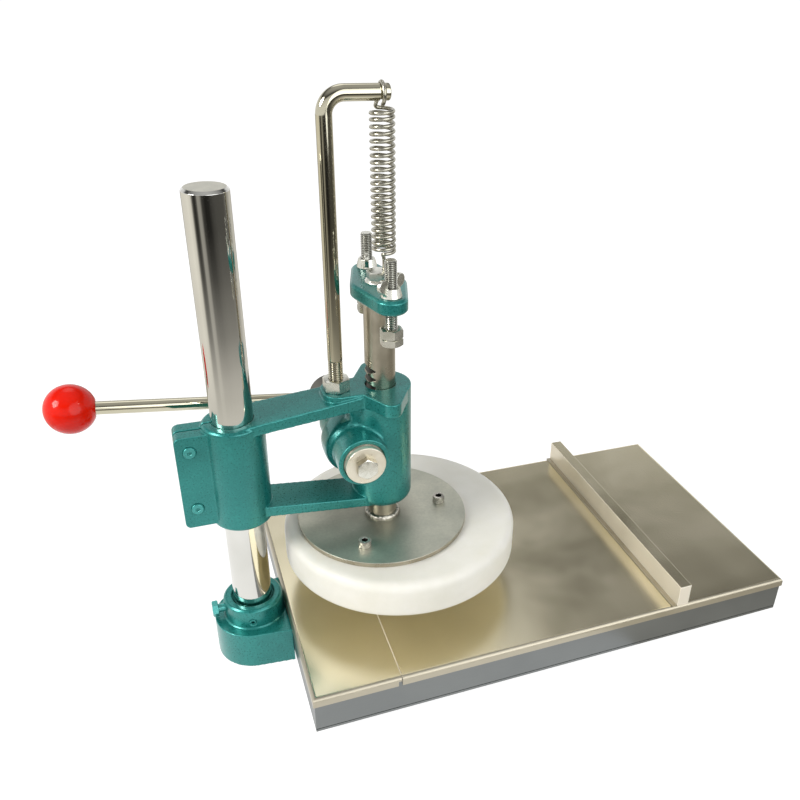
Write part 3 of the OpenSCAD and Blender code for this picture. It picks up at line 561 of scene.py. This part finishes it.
def make_paint():
    """Hammered metallic enamel, paler over edges, partly where it thins and partly as a painted highlight, and
    darker in inner corners as painted shade.
    """
    material, tree, co = finish("paint")
    hammer = grain(tree, co, 620, 3, 0.6)
    cloud = grain(tree, co, 26, 3, 0.55)
    fleck = put(tree, "TexVoronoi", {"Vector": co, "Scale": 1700}).outputs["Color"]
    tone = ramp(tree, hammer, (0.25, srgb(24, 120, 115)), (0.5, srgb(30, 130, 124)), (0.75, srgb(50, 150, 143)))
    tone = mixed(tree, spread(tree, cloud, 0.35, 0.65, 0, 0.35), tone, srgb(12, 100, 98))
    tone = mixed(tree, spread(tree, fleck, 0.74, 0.95, 0, 0.22), tone, srgb(90, 196, 190))
    point = put(tree, "NewGeometry").outputs["Pointiness"]
    # Paler over convex edges: thinner paint there, and a painted highlight along them.
    tone = mixed(tree, spread(tree, point, 0.515, 0.58, 0, 0.5), tone, srgb(96, 198, 192))
    # Darker in inner corners: painted shade.
    tone = mixed(tree, spread(tree, point, 0.43, 0.34, 0, 0.25), tone, srgb(6, 58, 60))
    height = maths(tree, "ADD", hammer, maths(tree, "MULTIPLY", cloud, 1.5))
    shade(tree, tone, spread(tree, hammer, 0.3, 0.7, 0.24, 0.4), height, 0.16, 0.22,
          Metallic=0.55, Coat_Weight=0.4, Coat_Roughness=0.18)
    return material


def make_metal(name, low, high, smooth, dull, cloud, streak=None, depth=0.01, lines=0.15, metallic=1.0):
    """Bare metal between two tones and two roughnesses, streaked along one axis where it is drawn or brushed.

    Points that sink() marks turn dark: painted shade in thread roots and sockets."""
    material, tree, co = finish(name)
    patch = grain(tree, co, cloud, 3, 0.55, warp=0.3)
    line = grain(tree, co, 55, 2, 0.6, streak) if streak else grain(tree, co, 900, 2)
    tone = ramp(tree, patch, (0.3, srgb(*low)), (0.7, srgb(*high)))
    tone = mixed(tree, spread(tree, line, 0.3, 0.7, 0, lines), tone, srgb(*low))
    # Painted shade: darker where sink() marked thread roots and sockets.
    deep = put(tree, "Attribute", attribute_name="recess_shade").outputs["Fac"]
    tone = mixed(tree, maths(tree, "MULTIPLY", deep, 0.92), tone, srgb(34, 31, 27))
    wear = mixed(tree, lines, patch, line)
    shade(tree, tone, spread(tree, wear, 0.35, 0.65, smooth, dull), line, depth, 0.3, Metallic=metallic)
    return material


def make_plate():
    """Galvanised plate: cloudy grey, browned by the heat of the weld round the ram."""
    material, tree, co = finish("plate")
    patch = grain(tree, co, 22, 3, 0.5, warp=0.2)
    fine = grain(tree, co, 420, 3, 0.6)
    tone = ramp(tree, patch, (0.3, srgb(184, 186, 172)), (0.7, srgb(212, 211, 195)))
    tone = mixed(tree, spread(tree, fine, 0.35, 0.7, 0, 0.25), tone, srgb(150, 153, 143))
    weld_place = (RAM_X * MM, 0, PLATE_TOP * MM)
    off = put(tree, "VectorMath", {0: co, 1: weld_place}, operation="SUBTRACT").outputs[0]
    far = put(tree, "VectorMath", {0: off}, operation="LENGTH").outputs["Value"]
    far = maths(tree, "ADD", far, maths(tree, "MULTIPLY", patch, 0.012))
    tone = mixed(tree, spread(tree, far, 0.046, 0.024, 0, 0.45), tone, srgb(122, 116, 102))
    shade(tree, tone, spread(tree, patch, 0.3, 0.7, 0.34, 0.46), fine, 0.01, 0.4, Metallic=0.85)
    return material


def make_plain(name, slot, low, high, smooth, dull, scale, depth, **values):
    """Moulded or turned plastic, rubber or board, with a faint mottle."""
    material, tree, co = finish(name)
    patch = grain(tree, co, scale, 4, 0.6)
    fine = grain(tree, co, scale * 14, 2)
    tone = ramp(tree, patch, (0.3, srgb(*low)), (0.7, srgb(*high)))
    height = maths(tree, "ADD", patch, fine)
    shade(tree, tone, spread(tree, fine, 0.3, 0.7, smooth, dull), height, depth, 0.35, **values)
    return material


paint = make_paint()

# Metals: name, two tones, two roughnesses, and their grain
chrome = make_metal(
    "chrome", (206, 205, 199), (222, 221, 216), 0.04, 0.1, cloud=12, streak=(40, 40, 1), depth=0.002)
bright_bar = make_metal(
    "bright_bar", (184, 179, 157), (204, 199, 179), 0.05, 0.11,
    cloud=12, streak=(40, 40, 40), depth=0.002)
stainless = make_metal(
    "stainless", (226, 217, 182), (242, 233, 205), 0.16, 0.27,
    cloud=7, streak=(1.5, 60, 20), depth=0.0015, lines=0.08)
# Darker tone for the sheets' upright lips and the flange at the fence's foot: painted shade.
shaded_sheet_edge = make_metal(
    "shaded_sheet_edge", (168, 161, 143), (186, 179, 161), 0.3, 0.42,
    cloud=12, streak=(1.5, 1.5, 60), depth=0.003)
# Paler finish for the fence's sides and the fold at the seam: painted light.
painted_light_satin = make_metal(
    "painted_light_satin", (240, 232, 215), (248, 241, 226), 0.34, 0.46,
    cloud=12, streak=(60, 1.5, 60), depth=0.003, metallic=0.6)
grey_sheet = make_metal(
    "grey_sheet", (116, 119, 119), (130, 133, 132), 0.3, 0.42,
    cloud=9, streak=(1.5, 30, 60), depth=0.006)
steel = make_metal("steel", (160, 153, 136), (194, 187, 170), 0.22, 0.38, cloud=40, streak=(60, 60, 1.5))
dark_bar = make_metal("dark_bar", (92, 90, 82), (112, 110, 101), 0.3, 0.42, cloud=40, depth=0.006)
cut_steel = make_metal("cut_steel", (190, 188, 174), (214, 212, 200), 0.32, 0.46, cloud=120, depth=0.03)
zinc = make_metal("zinc", (208, 208, 197), (236, 235, 226), 0.2, 0.32, cloud=90, depth=0.004)
dark_steel = make_metal(
    "dark_steel", (172, 168, 158), (212, 208, 198), 0.22, 0.34, cloud=120, depth=0.004, metallic=0.75)
# Darker tone for the flats of the pinion bolt's head: painted shade.
shaded_bolt_side = make_metal("shaded_bolt_side", (160, 153, 136), (194, 187, 170), 0.22, 0.38, cloud=40, depth=0.006)
pale_zinc = make_metal(
    "pale_zinc", (220, 213, 192), (240, 234, 218), 0.24, 0.38, cloud=70, depth=0.006, metallic=0.75)
weld = make_metal("weld", (150, 146, 134), (212, 208, 196), 0.28, 0.45, cloud=160, depth=0.05)
wire = make_metal("wire", (160, 157, 142), (200, 197, 184), 0.18, 0.32, cloud=140, depth=0.006)
plate = make_plate()

# Plastics, board and rubber: name, slot, two tones, two roughnesses, and their mottle
white = make_plain(
    "white_pe", "white_plastic", (230, 228, 217), (238, 236, 228), 0.38, 0.5, scale=30, depth=0.02,
    Subsurface_Weight=0.5, Subsurface_Scale=0.02, Subsurface_Radius=(1, 0.97, 0.9))
red = make_plain(
    "red_ball", "red_plastic", (214, 22, 3), (224, 28, 6), 0.13, 0.2, scale=40, depth=0.006,
    Specular_IOR_Level=0.24)
board = make_plain("wood_board", "board", (160, 126, 82), (190, 156, 108), 0.6, 0.8, scale=60, depth=0.1)
rubber = make_plain("foot_rubber", "rubber", (26, 26, 27), (38, 38, 39), 0.6, 0.8, scale=90, depth=0.05)


# Table

def flange_mesh():
    """Low flange along the foot of the fence, in the darker edge finish as a painted shade line."""
    low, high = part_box("fence_bar")
    block = box_part(
        (low[0] - FLANGE_W * MM, low[1], low[2]),
        (low[0] + FLANGE_LAP * MM, high[1], low[2] + FLANGE_H * MM))
    bevel = {"width": FLANGE_EDGE * MM, "segments": 3}
    return evaluated(mesh_of("fence_flange", block, 1), "fence_flange", ("BEVEL", bevel))


def fold_mesh():
    """Thin fold where the two sheets meet, paler than the sheets as a painted highlight line."""
    path = [(SEAM_X, y, TABLE_TOP - FOLD_SUNK) for y in np.linspace(-FOLD_Y, FOLD_Y, 18)]
    return mesh_of("sheet_fold", sweep(path, [FOLD_R] * len(path), 12))


for name in ("top_sheet_left", "top_sheet_right"):
    # The upright lips of the sheets take the darker edge finish as painted shade.
    refinish(dress(name, stainless, edge=0.2), shaded_sheet_edge, lambda f: abs(f.normal.z) < 0.95)
# The fence's sides take a paler finish than its top: painted light.
refinish(dress("fence_bar", painted_light_satin, edge=0.8), stainless, lambda f: f.normal.z > 0.9)
add_trim("fence_flange", flange_mesh(), shaded_sheet_edge, "fence_bar")
add_trim("sheet_fold", fold_mesh(), painted_light_satin, "top_sheet_right")
dress("base_frame", grey_sheet)
dress("bottom_plate", grey_sheet)
dress("rubber_feet", rubber, edge=0.8)
keep("core_board", board)
keep("cross_rails", steel)
keep("feet_screws", zinc)
keep("foot_bolts", zinc)

# Column and its foot

column = build("column", [lathe(soft([
    (0, COLUMN_LOW),
    (COLUMN_R - COLUMN_CHAMFER, COLUMN_LOW),
    (COLUMN_R, COLUMN_LOW + COLUMN_CHAMFER),
    (COLUMN_R, COLUMN_TOP - COLUMN_TOP_CHAMFER, 0.6),
    (COLUMN_R - COLUMN_TOP_CHAMFER, COLUMN_TOP, 0.5),
    (0, COLUMN_TOP)]), 128)], chrome)
refinish(column, cut_steel, lambda f: f.center.z > (COLUMN_TOP - 0.3) * MM)
cast("column_foot", paint, [((0, 0, 0), UP, COLUMN_R + BORE_GAP)],
     voxel=0.6, passes=4, share=0.4, cone=(RING_R, FOOT_TOP, RING_FILLET, RING_TUCK))
build("foot_clamp_bolt", [
    moved(hexagon(FOOT_BOLT_AF, 0, FOOT_BOLT_H), to(FOOT_BOLT_X, 0, FOOT_BOLT_Z), LEFT),
    moved(rod(FOOT_BOLT_R, 0, FOOT_BOLT_L, 40), to(FOOT_BOLT_X + LAP, 0, FOOT_BOLT_Z), RIGHT)], paint)
dress("foot_set_screw", paint)


# Arm, its clamp screws, the post and its nut

def post_bar():
    """Post above its thread: straight, bent over, and grooved for the spring's loop."""
    climb = [(POST_X, 0, z) for z in np.linspace(NUT_HIGH + POST_THREAD - 0.5, POST_Z - POST_BEND, 24)]
    turn = [(POST_X + POST_BEND * (1 - math.cos(a)), 0, POST_Z - POST_BEND * (1 - math.sin(a)))
            for a in np.linspace(0, TAU / 4, 18)[1:]]
    tip = [
        (SPRING_X - GROOVE_OUT, POST_R), (SPRING_X - GROOVE_IN, GROOVE_R),
        (SPRING_X + GROOVE_IN, GROOVE_R), (SPRING_X + GROOVE_OUT, POST_R),
        (POST_END - 1, POST_R), (POST_END - 0.3, POST_R - 0.5), (POST_END, POST_R - 1)]
    straight = climb + turn
    return sweep(straight + [(x, 0, POST_Z) for x, r in tip], [POST_R] * len(straight) + [r for x, r in tip], 40)


shaft_axis = (SHAFT_X, 0, SHAFT_Z), BACK
cast("arm_casting", paint, [
    ((0, 0, 0), UP, COLUMN_R + BORE_GAP),
    ((RAM_X, 0, 0), UP, RAM_R + BORE_GAP),
    (*shaft_axis, SHAFT_R + BORE_GAP)],
    voxel=0.65, passes=7, share=0.35,
    bands=[(*shaft_axis, BOSS_NEAR, BOSS_FAR, low, low + BOSS_LONG, BOSS_PASSES) for low in BOSS_LOWS])
clamp_screw = cap_screw(r=3, length=18, head_r=5.3, head_h=6, key=3.2, depth=0.5, knurl=0)
build("clamp_screws", [moved(clamp_screw, to(CLAMP_X, CLAMP_Y, z), FRONT) for z in CLAMP_ZS], paint)

post_low, post_high = NUT_HIGH - 2, NUT_HIGH + POST_THREAD
post = build("spring_post", [
    sweep([(POST_X, 0, z) for z in (POST_FOOT, NUT_HIGH - 1)], [POST_R - 1] * 2, 40),
    moved(thread(POST_R, post_low, post_high, POST_PITCH, POST_THREAD_DEPTH, 56), to(POST_X, 0, 0)),
    post_bar()], bright_bar, 40)
# Painted shade in the post's thread roots.
sink(post, [(POST_X, 0)], POST_R - 0.1, POST_R - 1.6, post_low, post_high - 0.1)
build("post_nut", [moved(hexagon(NUT_AF, NUT_LOW, NUT_HIGH, POST_R + 0.05), to(POST_X, 0, 0))], zinc)


# Return spring

def bend(p, u, q, v, t):
    """Point at t on the curve that leaves p along u and comes to q along v."""
    p, u, q, v = (Vector(x) for x in (p, u, q, v))
    return p * (1 - t) ** 3 + (p + u) * 3 * t * (1 - t) ** 2 + (q - v) * 3 * t ** 2 * (1 - t) + q * t ** 3


def spring_path():
    """Tail in the bolt, close end turns, open coil and the loop over the post."""
    steps = int(COIL_TURNS * COIL_STEPS)
    pace = [min(1, 0.5 + 0.5 * min(i, steps - 1 - i) / EASE_STEPS) for i in range(steps)]
    climbed = np.concatenate([[0], np.cumsum(pace)]) / sum(pace)
    coil = []
    for i, share in enumerate(climbed):
        a = TAU * (COIL_TURNS * i / steps - 0.25)
        z = COIL_LOW + (COIL_HIGH - COIL_LOW) * share
        coil.append((SPRING_X + COIL_R * math.cos(a), COIL_R * math.sin(a), z))
    tail_end, hook_start = (SPRING_X, 0, TAIL_HIGH), (SPRING_X, HOOK_R, HOOK_Z)
    upward, inward, outward = (0, 0, BEND_LEAD), (BEND_LEAD, 0, 0.2), (-BEND_LEAD, 0, 0.2)
    path = [(SPRING_X, 0, z) for z in np.linspace(TAIL_LOW, TAIL_HIGH, 7)[:-1]]
    path += [bend(tail_end, upward, coil[0], inward, t) for t in np.linspace(0, 1, 20)[:-1]]
    path += coil
    path += [bend(coil[-1], outward, hook_start, upward, t) for t in np.linspace(0, 1, 20)[1:-1]]
    path += [(SPRING_X, HOOK_R * math.cos(a), HOOK_Z + HOOK_R * math.sin(a))
             for a in np.linspace(0, math.radians(HOOK_SWEEP), 60)]
    return path


path = spring_path()
spring_mesh = mesh_of("return_spring_shown", sweep(path, [WIRE_R] * len(path), 12))
spring = settle("return_spring", spring_mesh, wire, 60, False)
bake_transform(spring)


# Pinion shaft, its washer and bolt, lever and ball

def ball_part():
    """Ball with a flat and a hole for the lever."""
    hole, flat = LEVER_R + 0.1, LEVER_L - BALL_FLAT * BALL_R
    arc = [(BALL_R * math.cos(a), LEVER_L + BALL_R * math.sin(a))
           for a in np.linspace(-math.asin(BALL_FLAT), TAU / 4, 48)]
    arc[-1] = (0, LEVER_L + BALL_R)
    seat = [
        (0, LEVER_L - BALL_HOLE), (hole, LEVER_L - BALL_HOLE), (hole, flat + 0.4), (hole + 0.5, flat),
        (arc[0][0] - 0.5, flat)]
    return lathe(seat + arc, 128)


refinish(dress("pinion_shaft", steel, edge=0.25), dark_bar, lambda f: f.center.y > SHAFT_FRONT * MM)
hub = to(SHAFT_X, -SHAFT_FRONT, SHAFT_Z) @ FRONT
build("pinion_washer", [moved(lathe(soft([
    (WASHER_BORE, 0), (WASHER_R, 0, 0.5), (WASHER_R, WASHER_H, 0.9), (WASHER_BORE + 0.4, WASHER_H, 0.3),
    (WASHER_BORE, WASHER_H - 0.4), (WASHER_BORE, 0)])[:-1], 96, True), hub)], pale_zinc)
end_bolt = build("pinion_bolt", [
    moved(hexagon(END_BOLT_AF, WASHER_H, WASHER_H + END_BOLT_H), hub),
    moved(rod(END_BOLT_R, -END_BOLT_L, WASHER_H + LAP, 48), hub)], zinc)
# The head's flats take the darker finish as painted shade.
refinish(end_bolt, shaded_bolt_side, lambda f: abs(f.normal.y) < 0.5)
lever = to(SHAFT_X, LEVER_Y, SHAFT_Z) @ Matrix.Rotation(math.radians(-LEVER_TURN), 4, "Y") @ RIGHT
build("lever_rod", [moved(lathe(soft([
    (0, -LEVER_ROOT), (LEVER_R, -LEVER_ROOT, 0.5),
    (LEVER_R, LEVER_L - LEVER_SHORT, 0.5), (0, LEVER_L - LEVER_SHORT)]), 64), lever)], bright_bar)
build("ball_knob", [moved(ball_part(), lever)], red, 50)


# Ram, weld, plate, disc and its screws

def in_gap(f):
    """Tells whether a face of the ram lies in a gap between its teeth, where the finish puts painted shade."""
    deep = math.hypot(f.center.x - RAM_X * MM, f.center.y) < (RAM_R - 1) * MM
    return deep and abs(f.normal.z) < 0.98


def weld_part():
    """Rippled bead in the corner between ram and plate."""
    rows = []
    for t in np.linspace(0, 1, WELD_ROWS):
        row = []
        for k in range(WELD_SEGS):
            a = TAU * k / WELD_SEGS
            lump = noise.noise((3 * math.cos(a), 3 * math.sin(a), 2 * t))
            wave = abs(math.sin(11.5 * a + 2.2 * t)) ** 0.7
            size = 0.86 + 0.07 * wave + 0.1 * lump
            r = RAM_R + WELD_GAP + WELD_W * size * math.cos(t * TAU / 4) ** 0.8
            h = PLATE_TOP + WELD_H * size * math.sin(t * TAU / 4) ** 0.9
            row.append((r * math.cos(a), r * math.sin(a), h))
        rows.append(row)
    return skin(rows + [ring(RAM_R + WELD_GAP, PLATE_TOP, WELD_SEGS)], True)


# Faces in the gaps between the teeth take the darker bar finish: painted shade.
refinish(dress("ram", steel, edge=0.25), dark_bar, in_gap)
screws = [(RAM_X + SCREW_CIRCLE * math.cos(math.radians(a)), SCREW_CIRCLE * math.sin(math.radians(a)))
          for a in SCREW_ANGLES]
press_plate = build("press_plate", [moved(lathe(soft([
    (0, DISC_TOP), (PLATE_R, DISC_TOP, 0.4), (PLATE_R, PLATE_TOP, 0.7), (0, PLATE_TOP)]), 192),
    to(RAM_X, 0, 0))], plate)
drill(press_plate, [(x, y, DRILL_LOW, DRILL_TOP, SCREW_HOLE) for x, y in screws])
# The plate's side takes the darker steel finish: painted shade along its edge.
refinish(press_plate, steel, lambda f: abs(f.normal.z) < 0.5)
disc = build("dough_disc", [moved(lathe(soft([
    (0, DISC_LOW), (DISC_R, DISC_LOW, 5), (DISC_R, DISC_TOP, 9), (0, DISC_TOP)], 10), 192),
    to(DISC_X, 0, 0))], white, 50)
drill(disc, [(x, y, SCREW_HOLE_LOW, DRILL_TOP, SCREW_HOLE) for x, y in screws])
disc_screw = cap_screw(r=3, length=24, head_r=5.7, head_h=SCREW_HEAD, key=5.2, depth=3.6)
heads = build("disc_screws", [
    moved(disc_screw, to(x, y, PLATE_TOP), Matrix.Rotation(x, 4, "Z")) for x, y in screws], dark_steel, 40)
# Painted shade in the screws' sockets.
sink(heads, screws, 3.15, 3.05, PLATE_TOP + 2, PLATE_TOP + SCREW_HEAD - 0.2)
build("weld_bead", [moved(weld_part(), to(RAM_X, 0, 0))], weld, 60)

# Cross plate, its bolt, the stops and wing nuts

cast("cross_plate", paint, [
    ((RAM_X, 0, 0), UP, CROSS_BORE),
    ((RAM_X, STOP_Y, 0), UP, STOP_R + STOP_GAP),
    ((RAM_X, -STOP_Y, 0), UP, STOP_R + STOP_GAP)],
    voxel=0.55, passes=6, share=0.5)
cross_bolt = flange_bolt(r=6, length=33, flange_r=11.5, af=18, head_h=9)
bolt = build("cross_plate_bolt", [moved(cross_bolt, to(RAM_X, 0, CROSS_TOP))], zinc)
drill(bolt, [(SPRING_X, 0, TAIL_LOW - 0.5, CROSS_TOP + 14, TAIL_HOLE)])
for side, name in ((-1, "front"), (1, "rear")):
    stand = to(RAM_X, side * STOP_Y, 0)
    stop = build("stop_bolt_" + name, [
        moved(hexagon(STOP_AF, STOP_LOW, STOP_HEAD), stand),
        moved(thread(STOP_R, STOP_HEAD - LAP, STOP_TOP, STOP_PITCH, STOP_THREAD_DEPTH, 40), stand)], zinc)
    # Painted shade in the stop's thread roots.
    sink(stop, [(RAM_X, side * STOP_Y)], STOP_R - 0.1, STOP_R - 0.68, STOP_HEAD + 0.5, STOP_TOP - 0.7)
    build("stop_nut_" + name, [moved(hexagon(STOP_AF, STOP_HEAD, STOP_NUT, STOP_R + 0.03), stand)], zinc)
    cast("wing_nut_" + name, zinc, [((RAM_X, side * STOP_Y, 0), UP, STOP_R + STOP_GAP)],
         voxel=0.32, passes=8, share=0.6)


# Studio, in metres

CAMERA = (-0.0404, -0.6216, 0.5898)
FLOOR_Z, FLOOR_R, COVE_R, WALL_H = -0.0002, 9, 1.2, 2.4
CARD_Z, CARD_RADII = 0.0006, (0.38, 0.6, 0.9, 3.5)
WHITE_SHEET = (0.78, 0.75, 0.68, 1)


def bare_material(name):
    """Material without a shader: (material, tree)."""
    material = bpy.data.materials.new(name)
    material.use_nodes = True
    material.node_tree.nodes.clear()
    return material, material.node_tree


def stage_mesh(name, part, material):
    """Piece of the studio."""
    mesh = mesh_of(name, part, 1)
    mesh.materials.append(material)
    made = bpy.data.objects.new(name, mesh)
    scene.collection.objects.link(made)
    return made


def make_floor():
    """White floor and backdrop that show as white to the camera and in reflections, and keep a soft shadow."""
    material, tree = bare_material("studio_white")
    path = put(tree, "LightPath").outputs
    seen = maths(tree, "MAXIMUM", path["Is Camera Ray"], path["Is Glossy Ray"])
    seen = maths(tree, "MAXIMUM", seen, path["Is Transmission Ray"])
    lit = put(tree, "BsdfDiffuse", {"Color": (0.25, 0.25, 0.25, 1)}).outputs[0]
    glow = put(tree, "Emission", {"Color": (1, 1, 1, 1), "Strength": 0.93}).outputs[0]
    shown = put(tree, "AddShader", {0: lit, 1: glow}).outputs[0]
    bounce = put(tree, "BsdfDiffuse", {"Color": (0.6, 0.6, 0.6, 1)}).outputs[0]
    both = put(tree, "MixShader", {0: seen, 1: bounce, 2: shown}).outputs[0]
    put(tree, "OutputMaterial", {"Surface": both})
    points, faces = lathe(soft([(0, FLOOR_Z), (FLOOR_R, FLOOR_Z, COVE_R), (FLOOR_R, WALL_H)], 12), 96)
    stage_mesh("studio_floor", (points, faces[:-1]), material)


def make_card(levels):
    """Dark floor round the white sheet under the object, which only shows in bright metal.

    Its grey levels go by bearing, in degrees from the camera's own."""
    material, tree = bare_material("studio_card")
    co = put(tree, "TexCoord").outputs["Object"]
    far = put(tree, "VectorMath", {0: co}, operation="LENGTH").outputs["Value"]
    level = put(tree, "Attribute", attribute_name="level").outputs["Color"]
    near = ramp(tree, spread(tree, far, CARD_RADII[0], 1.4, 0, 1),
                (0, 1.0), (0.09, 0.95), (0.22, 0.68), (0.39, 0.3), (0.7, 0.07), (1, 0.0))
    tone = mixed(tree, near, level, WHITE_SHEET)
    glow = put(tree, "Emission", {"Color": tone, "Strength": 1}).outputs[0]
    put(tree, "OutputMaterial", {"Surface": glow})
    toward = math.atan2(CAMERA[1], CAMERA[0])
    bearings = range(-180, 181, 2)
    turns = [toward + math.radians(b) for b in bearings]
    points = [(r * math.cos(a), r * math.sin(a), CARD_Z) for r in CARD_RADII for a in turns]
    count = len(bearings)
    faces = [(count * i + k, count * i + k + 1, count * i + count + k + 1, count * i + count + k)
             for i in range(len(CARD_RADII) - 1) for k in range(count - 1)]
    card = stage_mesh("studio_card", (points, faces), material)
    grey = np.interp(bearings, [b for b, g in levels], [g for b, g in levels])
    tint = card.data.attributes.new("level", "FLOAT_COLOR", "POINT")
    tint.data.foreach_set("color", [c for g in list(grey) * len(CARD_RADII) for c in (g, 0.96 * g, 0.86 * g, 1)])
    card.visible_camera = card.visible_diffuse = card.visible_shadow = card.visible_transmission = False


def make_lamp(name, place, aim, size, power, colour):
    """Round area lamp."""
    lamp = bpy.data.lights.new(name, "AREA")
    lamp.shape = "DISK"
    lamp.size = size
    lamp.energy = power
    lamp.color = colour
    made = bpy.data.objects.new(name, lamp)
    scene.collection.objects.link(made)
    made.location = place
    made.rotation_euler = (Vector(aim) - Vector(place)).to_track_quat("-Z", "Y").to_euler()


def make_sky():
    """World that is white to the camera, and a dim sky with one bright spot behind the object to all else."""
    world = bpy.data.worlds.new("studio")
    scene.world = world
    world.use_nodes = True
    sky = world.node_tree
    toward = put(sky, "TexCoord").outputs["Generated"]
    rise = put(sky, "SeparateXYZ", {0: toward}).outputs["Z"]
    tone = ramp(sky, rise, (0.4, 0.9), (0.49, 0.6), (0.54, 0.14), (0.64, 0.07), (0.8, 0.34), (1, 0.6))
    spot = {0: toward, 1: (0.05, 0.6, 0.798)}
    near = put(sky, "VectorMath", spot, operation="DOT_PRODUCT").outputs["Value"]
    tone = mixed(sky, 1, tone, ramp(sky, near, (0.95, 0.0), (0.985, 1.35), (1, 1.35)), "ADD")
    tone = mixed(sky, put(sky, "LightPath").outputs["Is Camera Ray"], tone, (1, 1, 1, 1))
    sky.links.new(tone, sky.nodes["Background"].inputs["Color"])


def make_camera(place, turns, focal, middle, picture, sensor=36):
    """Camera of a square picture: yaw, pitch and roll in degrees, the focal length and the middle in pixels."""
    yaw, pitch, roll = (math.radians(a) for a in turns)
    ahead = Vector((math.sin(yaw) * math.cos(pitch), math.cos(yaw) * math.cos(pitch), -math.sin(pitch)))
    right = Vector((math.cos(yaw), -math.sin(yaw), 0))
    above = right.cross(ahead)
    sideways = right * math.cos(roll) + above * math.sin(roll)
    upward = above * math.cos(roll) - right * math.sin(roll)
    lens = bpy.data.cameras.new("camera")
    lens.sensor_width = sensor
    lens.lens = focal / picture * sensor
    lens.shift_x = (picture / 2 - middle[0]) / picture
    lens.shift_y = (middle[1] - picture / 2) / picture
    lens.clip_end = 100
    lens.clip_start = 0.01
    camera = bpy.data.objects.new("camera", lens)
    scene.collection.objects.link(camera)
    camera.matrix_world = to(*place) @ Matrix((sideways, upward, -ahead)).transposed().to_4x4()
    scene.camera = camera


make_floor()
make_card([
    (-180, 0.25), (-165, 0.35), (-150, 0.85), (-95, 1.05), (-78, 0.9), (-67, 0.1), (-58, 0.03), (-49, 0.08),
    (-42, 0.4), (-31, 0.38), (-23, 0.07), (-8, 0.02), (8, 0.025), (20, 0.06), (40, 0.09), (80, 0.1), (95, 0.18),
    (108, 0.36), (125, 0.6), (140, 0.75), (160, 0.5), (180, 0.25)])
make_lamp("key", (-1.65, -0.3, 1.4), (0.1, 0, 0.2), size=0.9, power=34, colour=(1, 0.985, 0.96))
make_lamp("fill", (0.9, -1.7, 1.0), (0.2, 0, 0.15), size=2.2, power=22, colour=(0.97, 0.985, 1))
make_sky()
make_camera(CAMERA, (21.876, 28.969, 2.254), focal=818.91, middle=(465.07, 412.41), picture=800)
